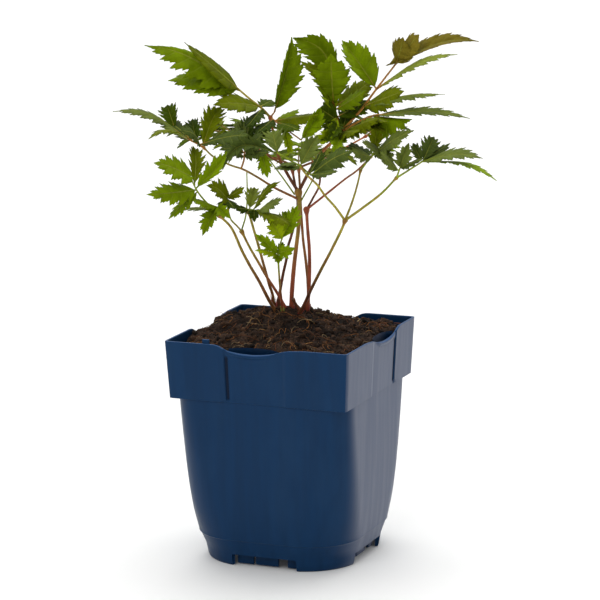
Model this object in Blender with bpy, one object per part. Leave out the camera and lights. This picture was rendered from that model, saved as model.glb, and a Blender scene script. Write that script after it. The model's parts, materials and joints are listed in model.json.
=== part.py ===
"""A young astilbe in a square blue nursery pot: pot, soil, leaf stalks, boughs and leaf sprays.

Lengths are in millimetres until a mesh is made. Up is +Z, the pot's front wall faces -Y and the
pot stands on z = 0. The crown is laid out in its own plan, which is turned against the pot: its
three measures are across (to the right), toward (to the front) and up.
"""

import math
import random
from collections import namedtuple

import bmesh
import bpy
from mathutils import Matrix, Vector
from mathutils.bvhtree import BVHTree

MM = 0.001

# The crown's plan is turned by this angle against the pot
CROWN_TURN = 22.2

# Pot: rim, collar and body
POT_HEIGHT = 106.0
RIM_HALF = 45.0
RIM_CORNER = 1.6
COLLAR_HEIGHT = 27.0
COLLAR_FOOT_HALF = 43.6
WALL = 1.1
CORNER_STEPS = 5

# Body outline from the stand upward: height, half width, corner radius
BODY = (
    (0.0, 36.6, 25.6),
    (1.2, 37.0, 26.0),
    (6.5, 37.6, 25.4),
    (12.6, 39.2, 24.0),
    (13.3, 39.6, 24.0),
    (23.7, 41.0, 22.0),
    (36.0, 41.9, 20.0),
    (48.0, 42.3, 17.7),
    (63.0, 42.6, 15.0),
    (79.0, 42.8, 12.0),
)

# Underside: the floor stands above a foot ring that opens on each side
FLOOR_UNDER = 7.0
FLOOR_TOP = 8.2
FOOT_WALL = 1.3
FOOT_OPENING_HALF = 16.0
FOOT_OPENING_TOP = 5.6
PAD_RADIUS = 7.0
RIB_INSET = 3.0
RIB_THICKNESS = 1.4
RIB_LIFT = 0.6
RIBS = ((-14.5, -6.5), (-5.5, 5.8), (10.4, 15.4))
PAD_SIDES = 16
DRAIN_RADIUS = 4.0
DRAIN_OFFSET = 19.0
DRAIN_SIDES = 12

# How far a cutter runs past the face that it cuts
CUT_PAST = 1.6

# Finger notch in each side of the rim, and the panel under it
NOTCH_OUTLINE = ((19.5, 106.6), (17.6, 105.2), (14.8, 103.0), (11.2, 101.3), (6.5, 100.6))
LIP_HALF = 9.5
LIP_LOW = 98.9
LIP_TOP = 100.5
LIP_FRONT = 45.2
LIP_BACK = 43.9
PANEL_HALF = 15.4
PANEL_DEPTH = 0.5
GROOVE_WIDTH = 1.8
GROOVE_DEPTH = 0.9
GROOVE_TOP = 101.5
SIDE_SHIFT = 4.0

# Soil: its edge inside the rim, the mound round the stalks, a heap at the left, and ripples with
# their height, their waves along x and y and their phase
SOIL_EDGE = 102.6
SOIL_STEP = 3.0
SOIL_CORNER = 0.8
MOUND_TOP = 9.4
MOUND_RADIUS = 26.0
MOUND_ACROSS = -1.0
MOUND_TOWARD = -14.0
HEAP_TOP = 1.3
HEAP_RADIUS = 18.0
HEAP_X = -34.0
HEAP_Y = -4.0
RIPPLES = ((0.5, 0.19, 0.23, 1.0), (0.4, 0.41, -0.37, 0.0), (0.3, -0.12, 0.44, 2.0))
SOIL_RINGS = 6

# Clear space between neighbouring pieces
GAP = 0.3

# A limb ends in a round hub: its swell against the tip's girth, then the hub's rings, each with its
# place in hub radii from the centre and its share of the hub's radius
HUB_RINGS = ((-2.4, None), (-0.55, 0.88), (0.45, 0.88), (0.92, 0.45))
HUB_SWELL = 2.2
FORK_SWELL = 2.4
STEM_PARTS = 5
STEM_SIDES = 6
BOUGH_PARTS = 4
BOUGH_SIDES = 5
TWIG_SIDES = 4
TWIG_TAPER = 0.8
LEAFLET_FOLD = 18.0
TURN_STEPS = (8, 16, 26)
SEED = 71

# Colours as red, green and blue, and roughness
POT_BLUE = (0.012, 0.045, 0.14)
POT_ROUGHNESS = 0.42
PEAT_BROWN = (0.03, 0.018, 0.01)
PEAT_ROUGHNESS = 0.95
STALK_BROWN = (0.16, 0.05, 0.03)
STALK_ROUGHNESS = 0.6
LEAF_GREEN = (0.08, 0.2, 0.02)
LEAF_ROUGHNESS = 0.5

Stem = namedtuple("Stem", "name foot tip bow girth")
Bough = namedtuple("Bough", "name start tip bow girth")
Spray = namedtuple("Spray", "name start end girth leaflets")
Leaflet = namedtuple(
    "Leaflet", "place turn lean reach width face arch fold roll", defaults=(LEAFLET_FOLD, 0.0)
)

# Leaf stalks: foot on the soil (across, toward), tip (across, toward, up), bow, girth at foot and tip
STEMS = (
    Stem("stalk_left", (-10, -14), (-31, 33, 165.5), (1, -1, -1), (1.7, 1.1)),
    Stem("stalk_left_mid", (-5, -11), (-21, 6, 153), (0, 0, 1), (1.5, 1.1)),
    Stem("stalk_left_high", (-9, -18), (-19, 13.5, 162), (0, -1, 1), (1.5, 1.1)),
    Stem("stalk_low_shoot", (-3.5, -6.5), (-7, 28.6, 146.6), (0, -1, 1), (1.2, 0.8)),
    Stem("stalk_dark", (-3.5, -22), (1, -25, 177), (0.5, 0, 0), (1.5, 1.1)),
    Stem("stalk_centre", (0.5, -15), (4, -4, 169), (-0.5, 0, 0), (2.2, 1.7)),
    Stem("stalk_back", (6, -25), (4, -35, 176), (-0.5, 0, 0), (1.5, 1.1)),
    Stem("stalk_right_mid", (8.5, -16), (7.5, 2, 162), (0.7, 0, 0), (1.9, 1.4)),
    Stem("stalk_right", (4.5, -8), (25, 28, 160), (0.5, 0, -1), (1.6, 1.2)),
)

# Boughs: the limb whose tip they fork from, tip, bow, girth at foot and tip
BOUGHS = (
    Bough("bough_left", "stalk_centre", (-39, 14, 193), (1, 0, -0.5), (1.2, 0.8)),
    Bough("bough_upper_left", "stalk_centre", (-9, -6, 203), (-1, 0, 0), (1.4, 1.0)),
    Bough("bough_upper_right", "stalk_centre", (24, 0, 198), (0.5, 0, -0.5), (1.4, 1.1)),
    Bough("bough_right_back", "stalk_right_mid", (37.5, -14, 183), (0, 0, -0.5), (1.2, 0.8)),
    Bough("bough_right_dark", "stalk_right_mid", (9, -20, 184), (0, 0, 0), (1.1, 0.8)),
    Bough("bough_front", "stalk_right", (5, 50, 188.5), (0.5, 0, 0.5), (1.2, 0.9)),
    Bough("bough_right_up", "stalk_right", (31, 16, 182.5), (0, 0, 0), (1.1, 0.8)),
    Bough("bough_right_low", "stalk_right", (47, 34, 182), (0, 0, -0.5), (1.3, 0.9)),
    Bough("bough_left_small", "stalk_left_mid", (-28, 30, 170), (0, 0, 0.5), (0.9, 0.7)),
    Bough("bough_back_left", "stalk_back", (-24, -45, 189), (0, 0, -1), (1.1, 0.8)),
    Bough("bough_back_right", "stalk_back", (36, -46, 189), (0, 0, -1), (1.1, 0.8)),
    Bough("bough_dark_left", "stalk_dark", (-16, -27, 187), (0, 0, -0.5), (1.0, 0.8)),
)

# Leaf sprays that face the front: the limb and the share of its length where the twig starts,
# the twig's end and girth. A leaflet has its place along the twig from 0 to 1, its turn in the
# front view, its lean toward the front, its reach and width, the tilt of its face from up
# toward the front, its arch, its fold and its roll.
SPRAYS = (
    Spray("spray_low_left", ("stalk_left", 1), (-43, 46, 182), 0.9, (
        Leaflet(1.00, 149, 17, 21, 11, 60, 45),
        Leaflet(0.78, 178, 25, 25, 12, 60, 20),
        Leaflet(0.74, -141, 22, 19, 8.5, 60, 20),
        Leaflet(0.98, 94, -31, 19, 9.5, 70, 15),
        Leaflet(0.92, 45, -14, 22, 10, 60, 15),
    )),
    Spray("spray_low_hanging", ("stalk_left", 1), (-30.5, 40, 169.5), 0.8, (
        Leaflet(0.90, -118, 35, 17, 9, 70, 20),
        Leaflet(0.96, 163, 30, 15, 7, 45, 20),
        Leaflet(0.70, -168, -40, 21, 7, 15, 20),
        Leaflet(0.50, -26, 47, 9, 6, 50, 20),
    )),
    Spray("spray_low_small", ("bough_left_small", 1), (-29, 30, 175), 0.7, (
        Leaflet(1.00, 146, 20, 12, 8, 55, 20),
        Leaflet(0.90, 32, 11, 11, 6, 50, 15),
        Leaflet(0.50, 4, 58, 9, 5, 40, 15),
    )),
    Spray("spray_mid_left", ("stalk_left_high", 1), (-15.6, 22, 168.6), 0.8, (
        Leaflet(0.30, 82, -19, 12, 8, 60, 15),
        Leaflet(1.00, 44, 14, 16, 6.5, 45, 15),
        Leaflet(0.80, 24, 48, 20, 7, 45, 20),
        Leaflet(0.55, -12, 36, 20, 9, 55, 20),
        Leaflet(0.35, -59, 53, 9, 6, 60, 10),
        Leaflet(0.20, 161, 8, 10, 6, 55, 15),
    )),
    Spray("spray_low_shoot", ("stalk_low_shoot", 1), (-4.2, 34, 156), 0.7, (
        Leaflet(0.90, 126, 3, 10, 9, 70, 15),
        Leaflet(1.00, 70, -6, 18, 9, 75, 10),
        Leaflet(0.36, 140, 21, 12, 8, 60, 15),
        Leaflet(0.22, 178, 38, 11, 6, 60, 15),
        Leaflet(0.29, 6, 37, 11, 8, 60, 15),
        Leaflet(0.14, -74, 52, 8, 5, 70, 10),
    )),
    Spray("spray_left", ("bough_left", 1), (-46.5, 19, 199.6), 0.9, (
        Leaflet(1.00, 158, 17, 37, 15, 15, 28),
        Leaflet(0.90, 166, 60, 34, 11, 10, 45),
        Leaflet(0.75, 125, -35, 21, 11, 60, 15),
        Leaflet(0.20, 66, -35, 21, 12, 60, 15),
        Leaflet(0.60, 168, -72, 33, 15, 12, 15),
        Leaflet(0.15, 13, -48, 27, 14, 15, 15),
        Leaflet(0.40, 58, 61, 23, 13, 10, 30),
    )),
    Spray("spray_mid_dark", ("bough_left", 0.6), (-21.9, 10, 190), 0.8, (
        Leaflet(0.60, 147, 21, 17, 12, 25, 20),
        Leaflet(1.00, 102, -56, 25, 12, 40, 15),
        Leaflet(0.90, 60, -50, 26, 12, 40, 15),
        Leaflet(0.30, -25, 44, 17, 7, 70, 15),
        Leaflet(0.80, 30, -30, 17, 12, 20, 15),
    )),
    Spray("spray_front_arch", ("bough_front", 1), (-6.3, 60, 198.6), 0.9, (
        Leaflet(1.00, -168, 41, 30, 17, 25, 50),
        Leaflet(0.90, 112, -66, 21, 16, 30, 15),
        Leaflet(0.40, -160, 50, 15, 9, 20, 20),
        Leaflet(0.60, 100, -20, 17, 12, 35, 20),
    )),
    Spray("spray_front_right", ("bough_front", 1), (11, 48, 192.5), 0.8, (
        Leaflet(0.60, 44, -54, 22, 15, 35, 15),
        Leaflet(1.00, 18, -20, 27, 15, 35, 20),
        Leaflet(0.80, -12, 30, 15, 9, 25, 20),
    )),
    Spray("spray_upper_left", ("bough_upper_left", 1), (-22.6, -5, 217.2), 0.9, (
        Leaflet(1.00, 153, 11, 49, 23, 62, 14, 24, 35),
        Leaflet(0.42, 172, 40, 23, 13, 40, 15),
        Leaflet(0.35, 78, -75, 13, 8, 40, 10),
    )),
    Spray("spray_upright", ("bough_upper_left", 1), (-6.2, -4.5, 210), 0.9, (
        Leaflet(1.00, 77, 0, 32, 18, 60, 8, 40, -45),
    )),
    Spray("spray_under_upright", ("bough_upper_left", 1), (-4.8, -2, 204.5), 0.8, (
        Leaflet(1.00, 9, 39, 26, 14, 40, 15),
        Leaflet(0.80, 19, -29, 13, 10, 40, 10),
        Leaflet(0.60, -20, 56, 21, 12, 20, 20),
    )),
    Spray("spray_top", ("bough_upper_right", 1), (19.7, -4, 219.6), 0.9, (
        Leaflet(0.68, 86, -30, 25, 23, 72, 75),
        Leaflet(1.00, 140, -10, 29, 18, 62, 25),
        Leaflet(0.80, 150, 15, 20, 10, 60, 15),
        Leaflet(0.60, 14, -30, 22, 13, 45, 20),
        Leaflet(0.50, -161, -62, 17, 9, 50, 15),
    )),
    Spray("spray_top_right", ("bough_upper_right", 1), (49.1, 4, 230.2), 1.0, (
        Leaflet(1.00, 17, 20, 41, 17, 48, 25),
        Leaflet(0.66, 126, -21, 29, 16, 72, 12),
        Leaflet(0.59, 25, 17, 42, 12, 8, 22),
        Leaflet(0.48, 8, 31, 17, 13, 50, 15),
        Leaflet(0.36, 15, 35, 39, 10, 6, 20),
    )),
    Spray("spray_right_crescent", ("bough_upper_right", 1), (40.7, 15, 207.7), 0.9, (
        Leaflet(1.00, 2, 35, 52, 11, 12, 34),
        Leaflet(0.60, -5, 59, 31, 12, 15, 30),
        Leaflet(0.75, 12, -19, 22, 13, 20, 15),
    )),
    Spray("spray_dark_heart", ("bough_upper_right", 1), (22, 6, 200), 0.8, (
        Leaflet(0.90, 156, -52, 22, 13, 25, 15),
        Leaflet(1.00, 46, -60, 26, 13, 25, 15),
        Leaflet(0.70, -163, 60, 24, 13, 15, 30),
        Leaflet(0.80, 12, 61, 30, 12, 15, 25),
    )),
    Spray("spray_right_back", ("bough_right_back", 1), (41.8, -12, 188.5), 0.8, (
        Leaflet(1.00, 44, -11, 21, 13, 50, 10),
        Leaflet(0.60, 33, 34, 16, 10, 50, 15),
        Leaflet(0.40, 140, -30, 15, 12, 30, 15),
    )),
    Spray("spray_right_grey", ("bough_right_up", 1), (40.9, 21, 192.1), 0.8, (
        Leaflet(1.00, 27, 25, 26, 13, 20, 25),
        Leaflet(0.20, 133, -40, 15, 11, 25, 15),
        Leaflet(0.35, 110, -64, 18, 11, 30, 15),
        Leaflet(0.60, 37, 72, 25, 11, 15, 30),
    )),
    Spray("spray_right_small", ("bough_right_low", 1), (46, 42, 188.3), 0.7, (
        Leaflet(1.00, 114, -41, 13, 10, 40, 15),
        Leaflet(0.90, 52, -17, 13, 10, 35, 15),
        Leaflet(0.60, 44, 43, 18, 9, 20, 20),
    )),
    Spray("spray_right_low", ("bough_right_low", 1), (59.5, 40, 190.2), 0.9, (
        Leaflet(1.00, 54, -43, 16, 13, 45, 15),
        Leaflet(0.90, 126, -59, 15, 11, 35, 15),
        Leaflet(1.00, 8, 32, 31, 13, 35, 25),
        Leaflet(0.93, -8, 43, 44, 12, 12, 38),
    )),
)

# Sprays of the hidden side: limb, heading in plan (0 is right, 90 is back), twig length, reach
BACK_SPRAYS = (
    ("spray_back_left_1", "bough_back_left", 172, 18, 26),
    ("spray_back_left_2", "bough_back_left", 130, 20, 28),
    ("spray_back_left_3", "bough_back_left", 86, 18, 26),
    ("spray_back_right_1", "bough_back_right", 92, 18, 26),
    ("spray_back_right_2", "bough_back_right", 50, 20, 28),
    ("spray_back_right_3", "bough_back_right", 8, 16, 25),
    ("spray_back_mid", "stalk_back", 90, 24, 26),
    ("spray_dark_left", "bough_dark_left", 165, 14, 24),
    ("spray_dark_behind", "bough_dark_left", 105, 12, 22),
    ("spray_dark_right", "bough_right_dark", 20, 10, 22),
    ("spray_dark_mid", "bough_right_dark", 110, 10, 22),
)

# Their leaflets: place along the twig, turn from its heading, share of the spray's reach
BACK_PATTERN = ((1.0, 0, 1.0), (0.72, 48, 0.86), (0.72, -48, 0.86), (0.34, 62, 0.74), (0.34, -62, 0.74))
BACK_GIRTH = 0.8
BACK_RISE = 0.25
BACK_DROOP = 12.0
BACK_SLENDER = 0.46
BACK_FACE = -6.0
BACK_ARCH = 24.0
HEADING_SPREAD = 7.0
DROOP_SPREAD = 8.0
REACH_SPREAD = 0.08

# Leaflet outline: the place along the midrib and the share of the half width, tooth by tooth
LEAFLET_MARGIN = (
    (0.10, 0.02),
    (0.21, 0.64),
    (0.39, 1.00),
    (0.45, 0.77),
    (0.65, 0.80),
    (0.71, 0.48),
)
MIDRIB_PLACES = (0.0, 0.25, 0.5, 0.75)
STALK_HALF = 0.3
FOOT_HALF = 0.15
LEAF_THICKNESS = 0.022


def crown(across, toward, up):
    """A place in the crown's plan, as a vector in the pot's axes."""
    turn = math.radians(CROWN_TURN)
    x = across * math.cos(turn) + toward * math.sin(turn)
    y = across * math.sin(turn) - toward * math.cos(turn)
    return Vector((x, y, up))


def soil_height(x, y):
    """Height of the soil at a place in the pot's axes."""
    top = crown(MOUND_ACROSS, MOUND_TOWARD, 0.0)
    away = (x - top.x) ** 2 + (y - top.y) ** 2
    mound = MOUND_TOP * math.exp(-away / MOUND_RADIUS**2)
    aside = (x - HEAP_X) ** 2 + (y - HEAP_Y) ** 2
    heap = HEAP_TOP * math.exp(-aside / HEAP_RADIUS**2)
    ripple = sum(high * math.sin(along * x + across * y + phase) for high, along, across, phase in RIPPLES)
    return SOIL_EDGE + mound + heap + ripple


def body_at(height):
    """Half width and corner radius of the pot's body at a height."""
    for lower, upper in zip(BODY, BODY[1:]):
        if height <= upper[0]:
            share = (height - lower[0]) / (upper[0] - lower[0])
            return tuple(low + (high - low) * share for low, high in zip(lower[1:], upper[1:]))
    return BODY[-1][1:]


def square_ring(half, radius, height):
    """Points of a square with round corners, at one height."""
    points = []
    for quarter in range(4):
        turn = Matrix.Rotation(math.radians(90 * quarter), 3, "Z")
        for step in range(CORNER_STEPS + 1):
            angle = math.radians(-90 + 90 * step / CORNER_STEPS)
            x = half - radius + radius * math.cos(angle)
            y = -(half - radius) + radius * math.sin(angle)
            points.append(turn @ Vector((x, y, height)))
    return points


def loft(rings):
    """A closed bmesh through rings of equal count, with a flat cap at each end."""
    bm = bmesh.new()
    rows = [[bm.verts.new(point * MM) for point in ring] for ring in rings]
    count = len(rows[0])
    for lower, upper in zip(rows, rows[1:]):
        for k in range(count):
            after = (k + 1) % count
            bm.faces.new((lower[k], lower[after], upper[after], upper[k]))
    bm.faces.new(list(reversed(rows[0])))
    bm.faces.new(rows[-1])
    bmesh.ops.recalc_face_normals(bm, faces=bm.faces)
    return bm


def material(name, colour, roughness):
    made = bpy.data.materials.new(name)
    made.use_nodes = True
    shader = made.node_tree.nodes["Principled BSDF"]
    shader.inputs["Base Color"].default_value = (*colour, 1.0)
    shader.inputs["Roughness"].default_value = roughness
    return made


def place_object(name, bm, colour, roughness, collection=None):
    """Makes an object from a bmesh, with its own material."""
    mesh = bpy.data.meshes.new(name)
    bm.to_mesh(mesh)
    bm.free()
    obj = bpy.data.objects.new(name, mesh)
    mesh.materials.append(material(name, colour, roughness))
    mesh.shade_smooth()
    mesh.set_sharp_from_angle(angle=math.radians(35))
    (collection or bpy.context.scene.collection).objects.link(obj)
    return obj


def join_by_boolean(target, helpers, operation):
    """Runs one Boolean with the helpers' collection, applies it and removes the helpers."""
    modifier = target.modifiers.new("join", "BOOLEAN")
    modifier.operation = operation
    modifier.operand_type = "COLLECTION"
    modifier.collection = helpers
    modifier.solver = "MANIFOLD"
    bpy.context.view_layer.update()
    graph = bpy.context.evaluated_depsgraph_get()
    made = bpy.data.meshes.new_from_object(target.evaluated_get(graph))
    target.modifiers.clear()
    old = target.data
    target.data = made
    bpy.data.meshes.remove(old)
    for helper in list(helpers.objects):
        bpy.data.objects.remove(helper)
    bpy.data.collections.remove(helpers)


def keep_main_body(target):
    """Fills the hollows that a union seals and drops loose scraps: only the largest shell stays."""
    bm = bmesh.new()
    bm.from_mesh(target.data)
    shells = []
    seen = set()
    for first in bm.verts:
        if first in seen:
            continue
        seen.add(first)
        shell = [first]
        for vert in shell:
            for edge in vert.link_edges:
                other = edge.other_vert(vert)
                if other not in seen:
                    seen.add(other)
                    shell.append(other)
        shells.append(shell)
    shells.sort(key=len)
    for shell in shells[:-1]:
        bmesh.ops.delete(bm, geom=shell, context="VERTS")
    bm.to_mesh(target.data)
    bm.free()


def helper_collection(name):
    made = bpy.data.collections.new(name)
    bpy.context.scene.collection.children.link(made)
    return made


def box(low, high):
    """A box between two corners."""
    corners = [(low[0], low[1]), (high[0], low[1]), (high[0], high[1]), (low[0], high[1])]
    return loft([[Vector((x, y, z)) for x, y in corners] for z in (low[2], high[2])])


def disc_column(radius, low, high, sides, centre=(0.0, 0.0)):
    """An upright column with a regular outline."""
    rings = []
    for z in (low, high):
        ring = []
        for k in range(sides):
            angle = 2 * math.pi * k / sides
            x = centre[0] + radius * math.cos(angle)
            y = centre[1] + radius * math.sin(angle)
            ring.append(Vector((x, y, z)))
        rings.append(ring)
    return loft(rings)


def helper(name, bm, collection):
    """A solid that a Boolean joins to the pot or cuts from it."""
    return place_object(name, bm, POT_BLUE, POT_ROUGHNESS, collection)


def side_shift(quarter):
    """How far a side's notch and panel stand off its middle: both side walls' to the back."""
    return SIDE_SHIFT * (-1) ** (quarter // 2) if quarter % 2 else 0.0


def turned(bm, quarter):
    """Turns a bmesh to one of the four sides."""
    turn = Matrix.Rotation(math.radians(90 * quarter), 3, "Z")
    bmesh.ops.rotate(bm, verts=bm.verts, cent=(0, 0, 0), matrix=turn)
    return bm


def pot_rings():
    """Rings from the floor's underside, round the foot and up the outside, then down the inside."""
    foot = BODY[0]
    body_top = BODY[-1]
    rings = [square_ring(foot[1] - FOOT_WALL, foot[2] - FOOT_WALL, FLOOR_UNDER)]
    rings.append(square_ring(foot[1] - FOOT_WALL, foot[2] - FOOT_WALL, foot[0]))
    for height, half, radius in BODY:
        rings.append(square_ring(half, radius, height))
    collar_foot = POT_HEIGHT - COLLAR_HEIGHT
    rings.append(square_ring(COLLAR_FOOT_HALF, RIM_CORNER, collar_foot))
    rings.append(square_ring(RIM_HALF, RIM_CORNER, POT_HEIGHT))
    rings.append(square_ring(RIM_HALF - WALL, RIM_CORNER - WALL / 2, POT_HEIGHT))
    ledge = collar_foot + WALL
    rings.append(square_ring(COLLAR_FOOT_HALF - WALL, RIM_CORNER - WALL / 2, ledge))
    rings.append(square_ring(body_top[1] - WALL, body_top[2] - WALL, ledge))
    for height, half, radius in reversed(BODY[3:-1]):
        rings.append(square_ring(half - WALL, radius - WALL, height))
    half, radius = body_at(FLOOR_TOP)
    rings.append(square_ring(half - WALL, radius - WALL, FLOOR_TOP))
    return rings


def notch_cutter():
    outline = [(-x, z) for x, z in NOTCH_OUTLINE] + [(x, z) for x, z in reversed(NOTCH_OUTLINE)]
    depths = (-RIM_HALF - CUT_PAST, -RIM_HALF + CUT_PAST * 2)
    rings = [[Vector((x, y, z)) for x, z in outline] for y in depths]
    return loft(rings)


def sloped_slab(left, right, low, high, depth):
    """A slab that cuts to one depth into the sloping collar wall of the front side."""
    lean = (RIM_HALF - COLLAR_FOOT_HALF) / COLLAR_HEIGHT
    rings = []
    for z in (low, high):
        wall = -(RIM_HALF - lean * (POT_HEIGHT - z))
        out = wall - CUT_PAST
        ring = [(left, out), (right, out), (right, wall + depth), (left, wall + depth)]
        rings.append([Vector((x, y, z)) for x, y in ring])
    return loft(rings)


def make_pot():
    """The pot: body and collar in one, with notches, panels, foot openings, ribs and drains."""
    pot = place_object("pot", loft(pot_rings()), POT_BLUE, POT_ROUGHNESS)
    added = helper_collection("pot_added")
    foot_half = BODY[0][1] - RIB_INSET
    into_floor = FLOOR_UNDER + (FLOOR_TOP - FLOOR_UNDER) / 2
    for quarter in range(4):
        for number, (left, right) in enumerate(RIBS):
            low = (left, -foot_half, RIB_LIFT)
            high = (right, -foot_half + RIB_THICKNESS, into_floor)
            helper(f"rib_{quarter}_{number}", turned(box(low, high), quarter), added)
    helper("pad", disc_column(PAD_RADIUS, 0.0, into_floor, PAD_SIDES), added)
    join_by_boolean(pot, added, "UNION")
    cutters = helper_collection("pot_cutters")
    collar_foot = POT_HEIGHT - COLLAR_HEIGHT
    for quarter in range(4):
        side = 1 if quarter % 2 else -1
        left, right = sorted((side * PANEL_HALF, side * (PANEL_HALF - GROOVE_WIDTH)))
        low = collar_foot - CUT_PAST
        high = POT_HEIGHT + CUT_PAST
        tools = {
            "notch": notch_cutter(),
            "panel": sloped_slab(-PANEL_HALF, PANEL_HALF, low, high, PANEL_DEPTH),
            "groove": sloped_slab(left, right, collar_foot + CUT_PAST, GROOVE_TOP, GROOVE_DEPTH),
        }
        for name, bm in tools.items():
            bmesh.ops.translate(bm, verts=bm.verts, vec=(side_shift(quarter) * MM, 0, 0))
            helper(f"{name}_{quarter}", turned(bm, quarter), cutters)
        low = (-FOOT_OPENING_HALF, -RIM_HALF, -CUT_PAST)
        high = (FOOT_OPENING_HALF, -BODY[0][1] + FOOT_WALL + CUT_PAST / 4, FOOT_OPENING_TOP)
        helper(f"foot_opening_{quarter}", turned(box(low, high), quarter), cutters)
        centre = (DRAIN_OFFSET, -DRAIN_OFFSET)
        drain = disc_column(DRAIN_RADIUS, FLOOR_UNDER - CUT_PAST, FLOOR_TOP + CUT_PAST, DRAIN_SIDES, centre)
        helper(f"drain_{quarter}", turned(drain, quarter), cutters)
    join_by_boolean(pot, cutters, "DIFFERENCE")
    lips = helper_collection("pot_lips")
    for quarter in range(4):
        middle = side_shift(quarter)
        low = (middle - LIP_HALF, -LIP_FRONT, LIP_LOW)
        high = (middle + LIP_HALF, -LIP_BACK, LIP_TOP)
        helper(f"lip_{quarter}", turned(box(low, high), quarter), lips)
    join_by_boolean(pot, lips, "UNION")
    return pot


def make_soil():
    """The soil: fills the pot 0.3 mm clear of its walls, with an uneven mound on top."""
    body_top = BODY[-1]
    ledge = POT_HEIGHT - COLLAR_HEIGHT + WALL
    inset = WALL + GAP
    half, radius = body_at(FLOOR_TOP)
    rings = [square_ring(half - inset, radius - inset, FLOOR_TOP + GAP)]
    for height, half, radius in BODY[3:-1]:
        rings.append(square_ring(half - inset, radius - inset, height))
    rings.append(square_ring(body_top[1] - inset, body_top[2] - inset, ledge + GAP))
    rings.append(square_ring(COLLAR_FOOT_HALF - inset, SOIL_CORNER, ledge + GAP))
    slope = (RIM_HALF - COLLAR_FOOT_HALF) / COLLAR_HEIGHT
    edge_half = RIM_HALF - slope * (POT_HEIGHT - SOIL_EDGE + SOIL_STEP) - inset
    rings.append(square_ring(edge_half, SOIL_CORNER, SOIL_EDGE - SOIL_STEP))
    top = crown(MOUND_ACROSS, MOUND_TOWARD, 0.0)
    for number in range(SOIL_RINGS):
        share = 1.0 - (number + 0.35) / SOIL_RINGS
        rounding = SOIL_CORNER + edge_half * share * (1.0 - share) * 0.9
        ring = []
        for point in square_ring(edge_half * share, rounding, 0.0):
            x = point.x + top.x * (1.0 - share)
            y = point.y + top.y * (1.0 - share)
            ring.append(Vector((x, y, soil_height(x, y))))
        rings.append(ring)
    bm = loft(rings)
    bmesh.ops.triangulate(bm, faces=bm.faces)
    return place_object("soil", bm, PEAT_BROWN, PEAT_ROUGHNESS)


def seat_on(tree, foot, radius):
    """Height of a foot that stands just clear of the ground's highest point under it."""
    heights = []
    for step in range(8):
        angle = math.radians(45 * step)
        start = Vector((foot.x + radius * math.cos(angle), foot.y + radius * math.sin(angle), 2 * POT_HEIGHT))
        heights.append(tree.ray_cast(start * MM, Vector((0, 0, -1)))[0].z / MM)
    return max(heights) + GAP


def bezier(start, bow, end, count):
    """Points of a limb that bows between its two ends."""
    middle = (start + end) / 2 + bow * 2
    points = []
    for k in range(count + 1):
        t = k / count
        points.append(start * (1 - t) ** 2 + middle * 2 * t * (1 - t) + end * t * t)
    return points


def tube(points, radii, sides):
    """A closed tapering tube along points."""
    rings = []
    side = None
    for k, point in enumerate(points):
        before = points[max(k - 1, 0)]
        after = points[min(k + 1, len(points) - 1)]
        along = (after - before).normalized()
        if side is None:
            side = along.orthogonal().normalized()
        side = (side - along * side.dot(along)).normalized()
        other = along.cross(side)
        ring = []
        for n in range(sides):
            angle = 2 * math.pi * n / sides
            ring.append(point + (side * math.cos(angle) + other * math.sin(angle)) * radii[k])
        rings.append(ring)
    return rings


def limb_path(start, bow, end, girth, count, swell):
    """Points and radii of a limb with a swollen tip."""
    points = bezier(start, bow, end, count)
    radii = [(girth[0] + (girth[1] - girth[0]) * k / count) / 2 for k in range(count + 1)]
    hub = swell * girth[1] / 2
    reach = (points[-1] - points[-2]).normalized() * hub
    tip = points.pop()
    radii.pop()
    for along, share in HUB_RINGS:
        points.append(tip + reach * along)
        radii.append(hub * share if share else girth[1] / 2)
    return points, radii


def leaflet_shape(base, leaf, margin, spread=0.0):
    """Points and faces of one leaflet: a thin folded blade with a toothed outline.

    The midrib is an arc whose ends are the base and the tip. Each half rises from it by the
    fold. The blade is thickest at the midrib and thins to its edge.
    """
    turn = math.radians(leaf.turn)
    lean = math.radians(leaf.lean)
    tilt = math.radians(leaf.face)
    along = crown(math.cos(turn) * math.cos(lean), math.sin(lean), math.sin(turn) * math.cos(lean))
    facing = crown(0.0, math.sin(tilt), math.cos(tilt))
    normal = (facing - along * facing.dot(along)).normalized()
    normal = (Matrix.Rotation(-math.radians(leaf.roll), 3, along) @ normal).normalized()
    side = along.cross(normal).normalized()
    arch = math.radians(leaf.arch)
    fold = math.radians(leaf.fold)
    thick = leaf.reach * LEAF_THICKNESS / 2 + spread

    def frame(place):
        angle = arch * (0.5 - place)
        run = (math.sin(arch / 2) - math.sin(angle)) / (2 * math.sin(arch / 2))
        rise = (math.cos(angle) - math.cos(arch / 2)) / (2 * math.sin(arch / 2))
        point = base + (along * run + normal * rise) * leaf.reach
        return point, normal * math.cos(angle) - along * math.sin(angle)

    upper = []
    lower = []
    for place in MIDRIB_PLACES:
        point, out = frame(place)
        body = thick * (1.0 - 0.5 * place) if place else thick * 0.5
        upper.append(point + out * body)
        lower.append(point - out * body)
    rows = []
    for hand in (1, -1):
        row = [base + side * hand * (FOOT_HALF + spread)]
        for place, share in margin:
            point, out = frame(place)
            reach = leaf.width / 2 * share + STALK_HALF * (1 - place) + spread
            row.append(point + side * hand * reach * math.cos(fold) + out * reach * math.sin(fold))
        rows.append(row)
    tip = frame(1.0)[0]
    return upper, lower, rows, tip


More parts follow.
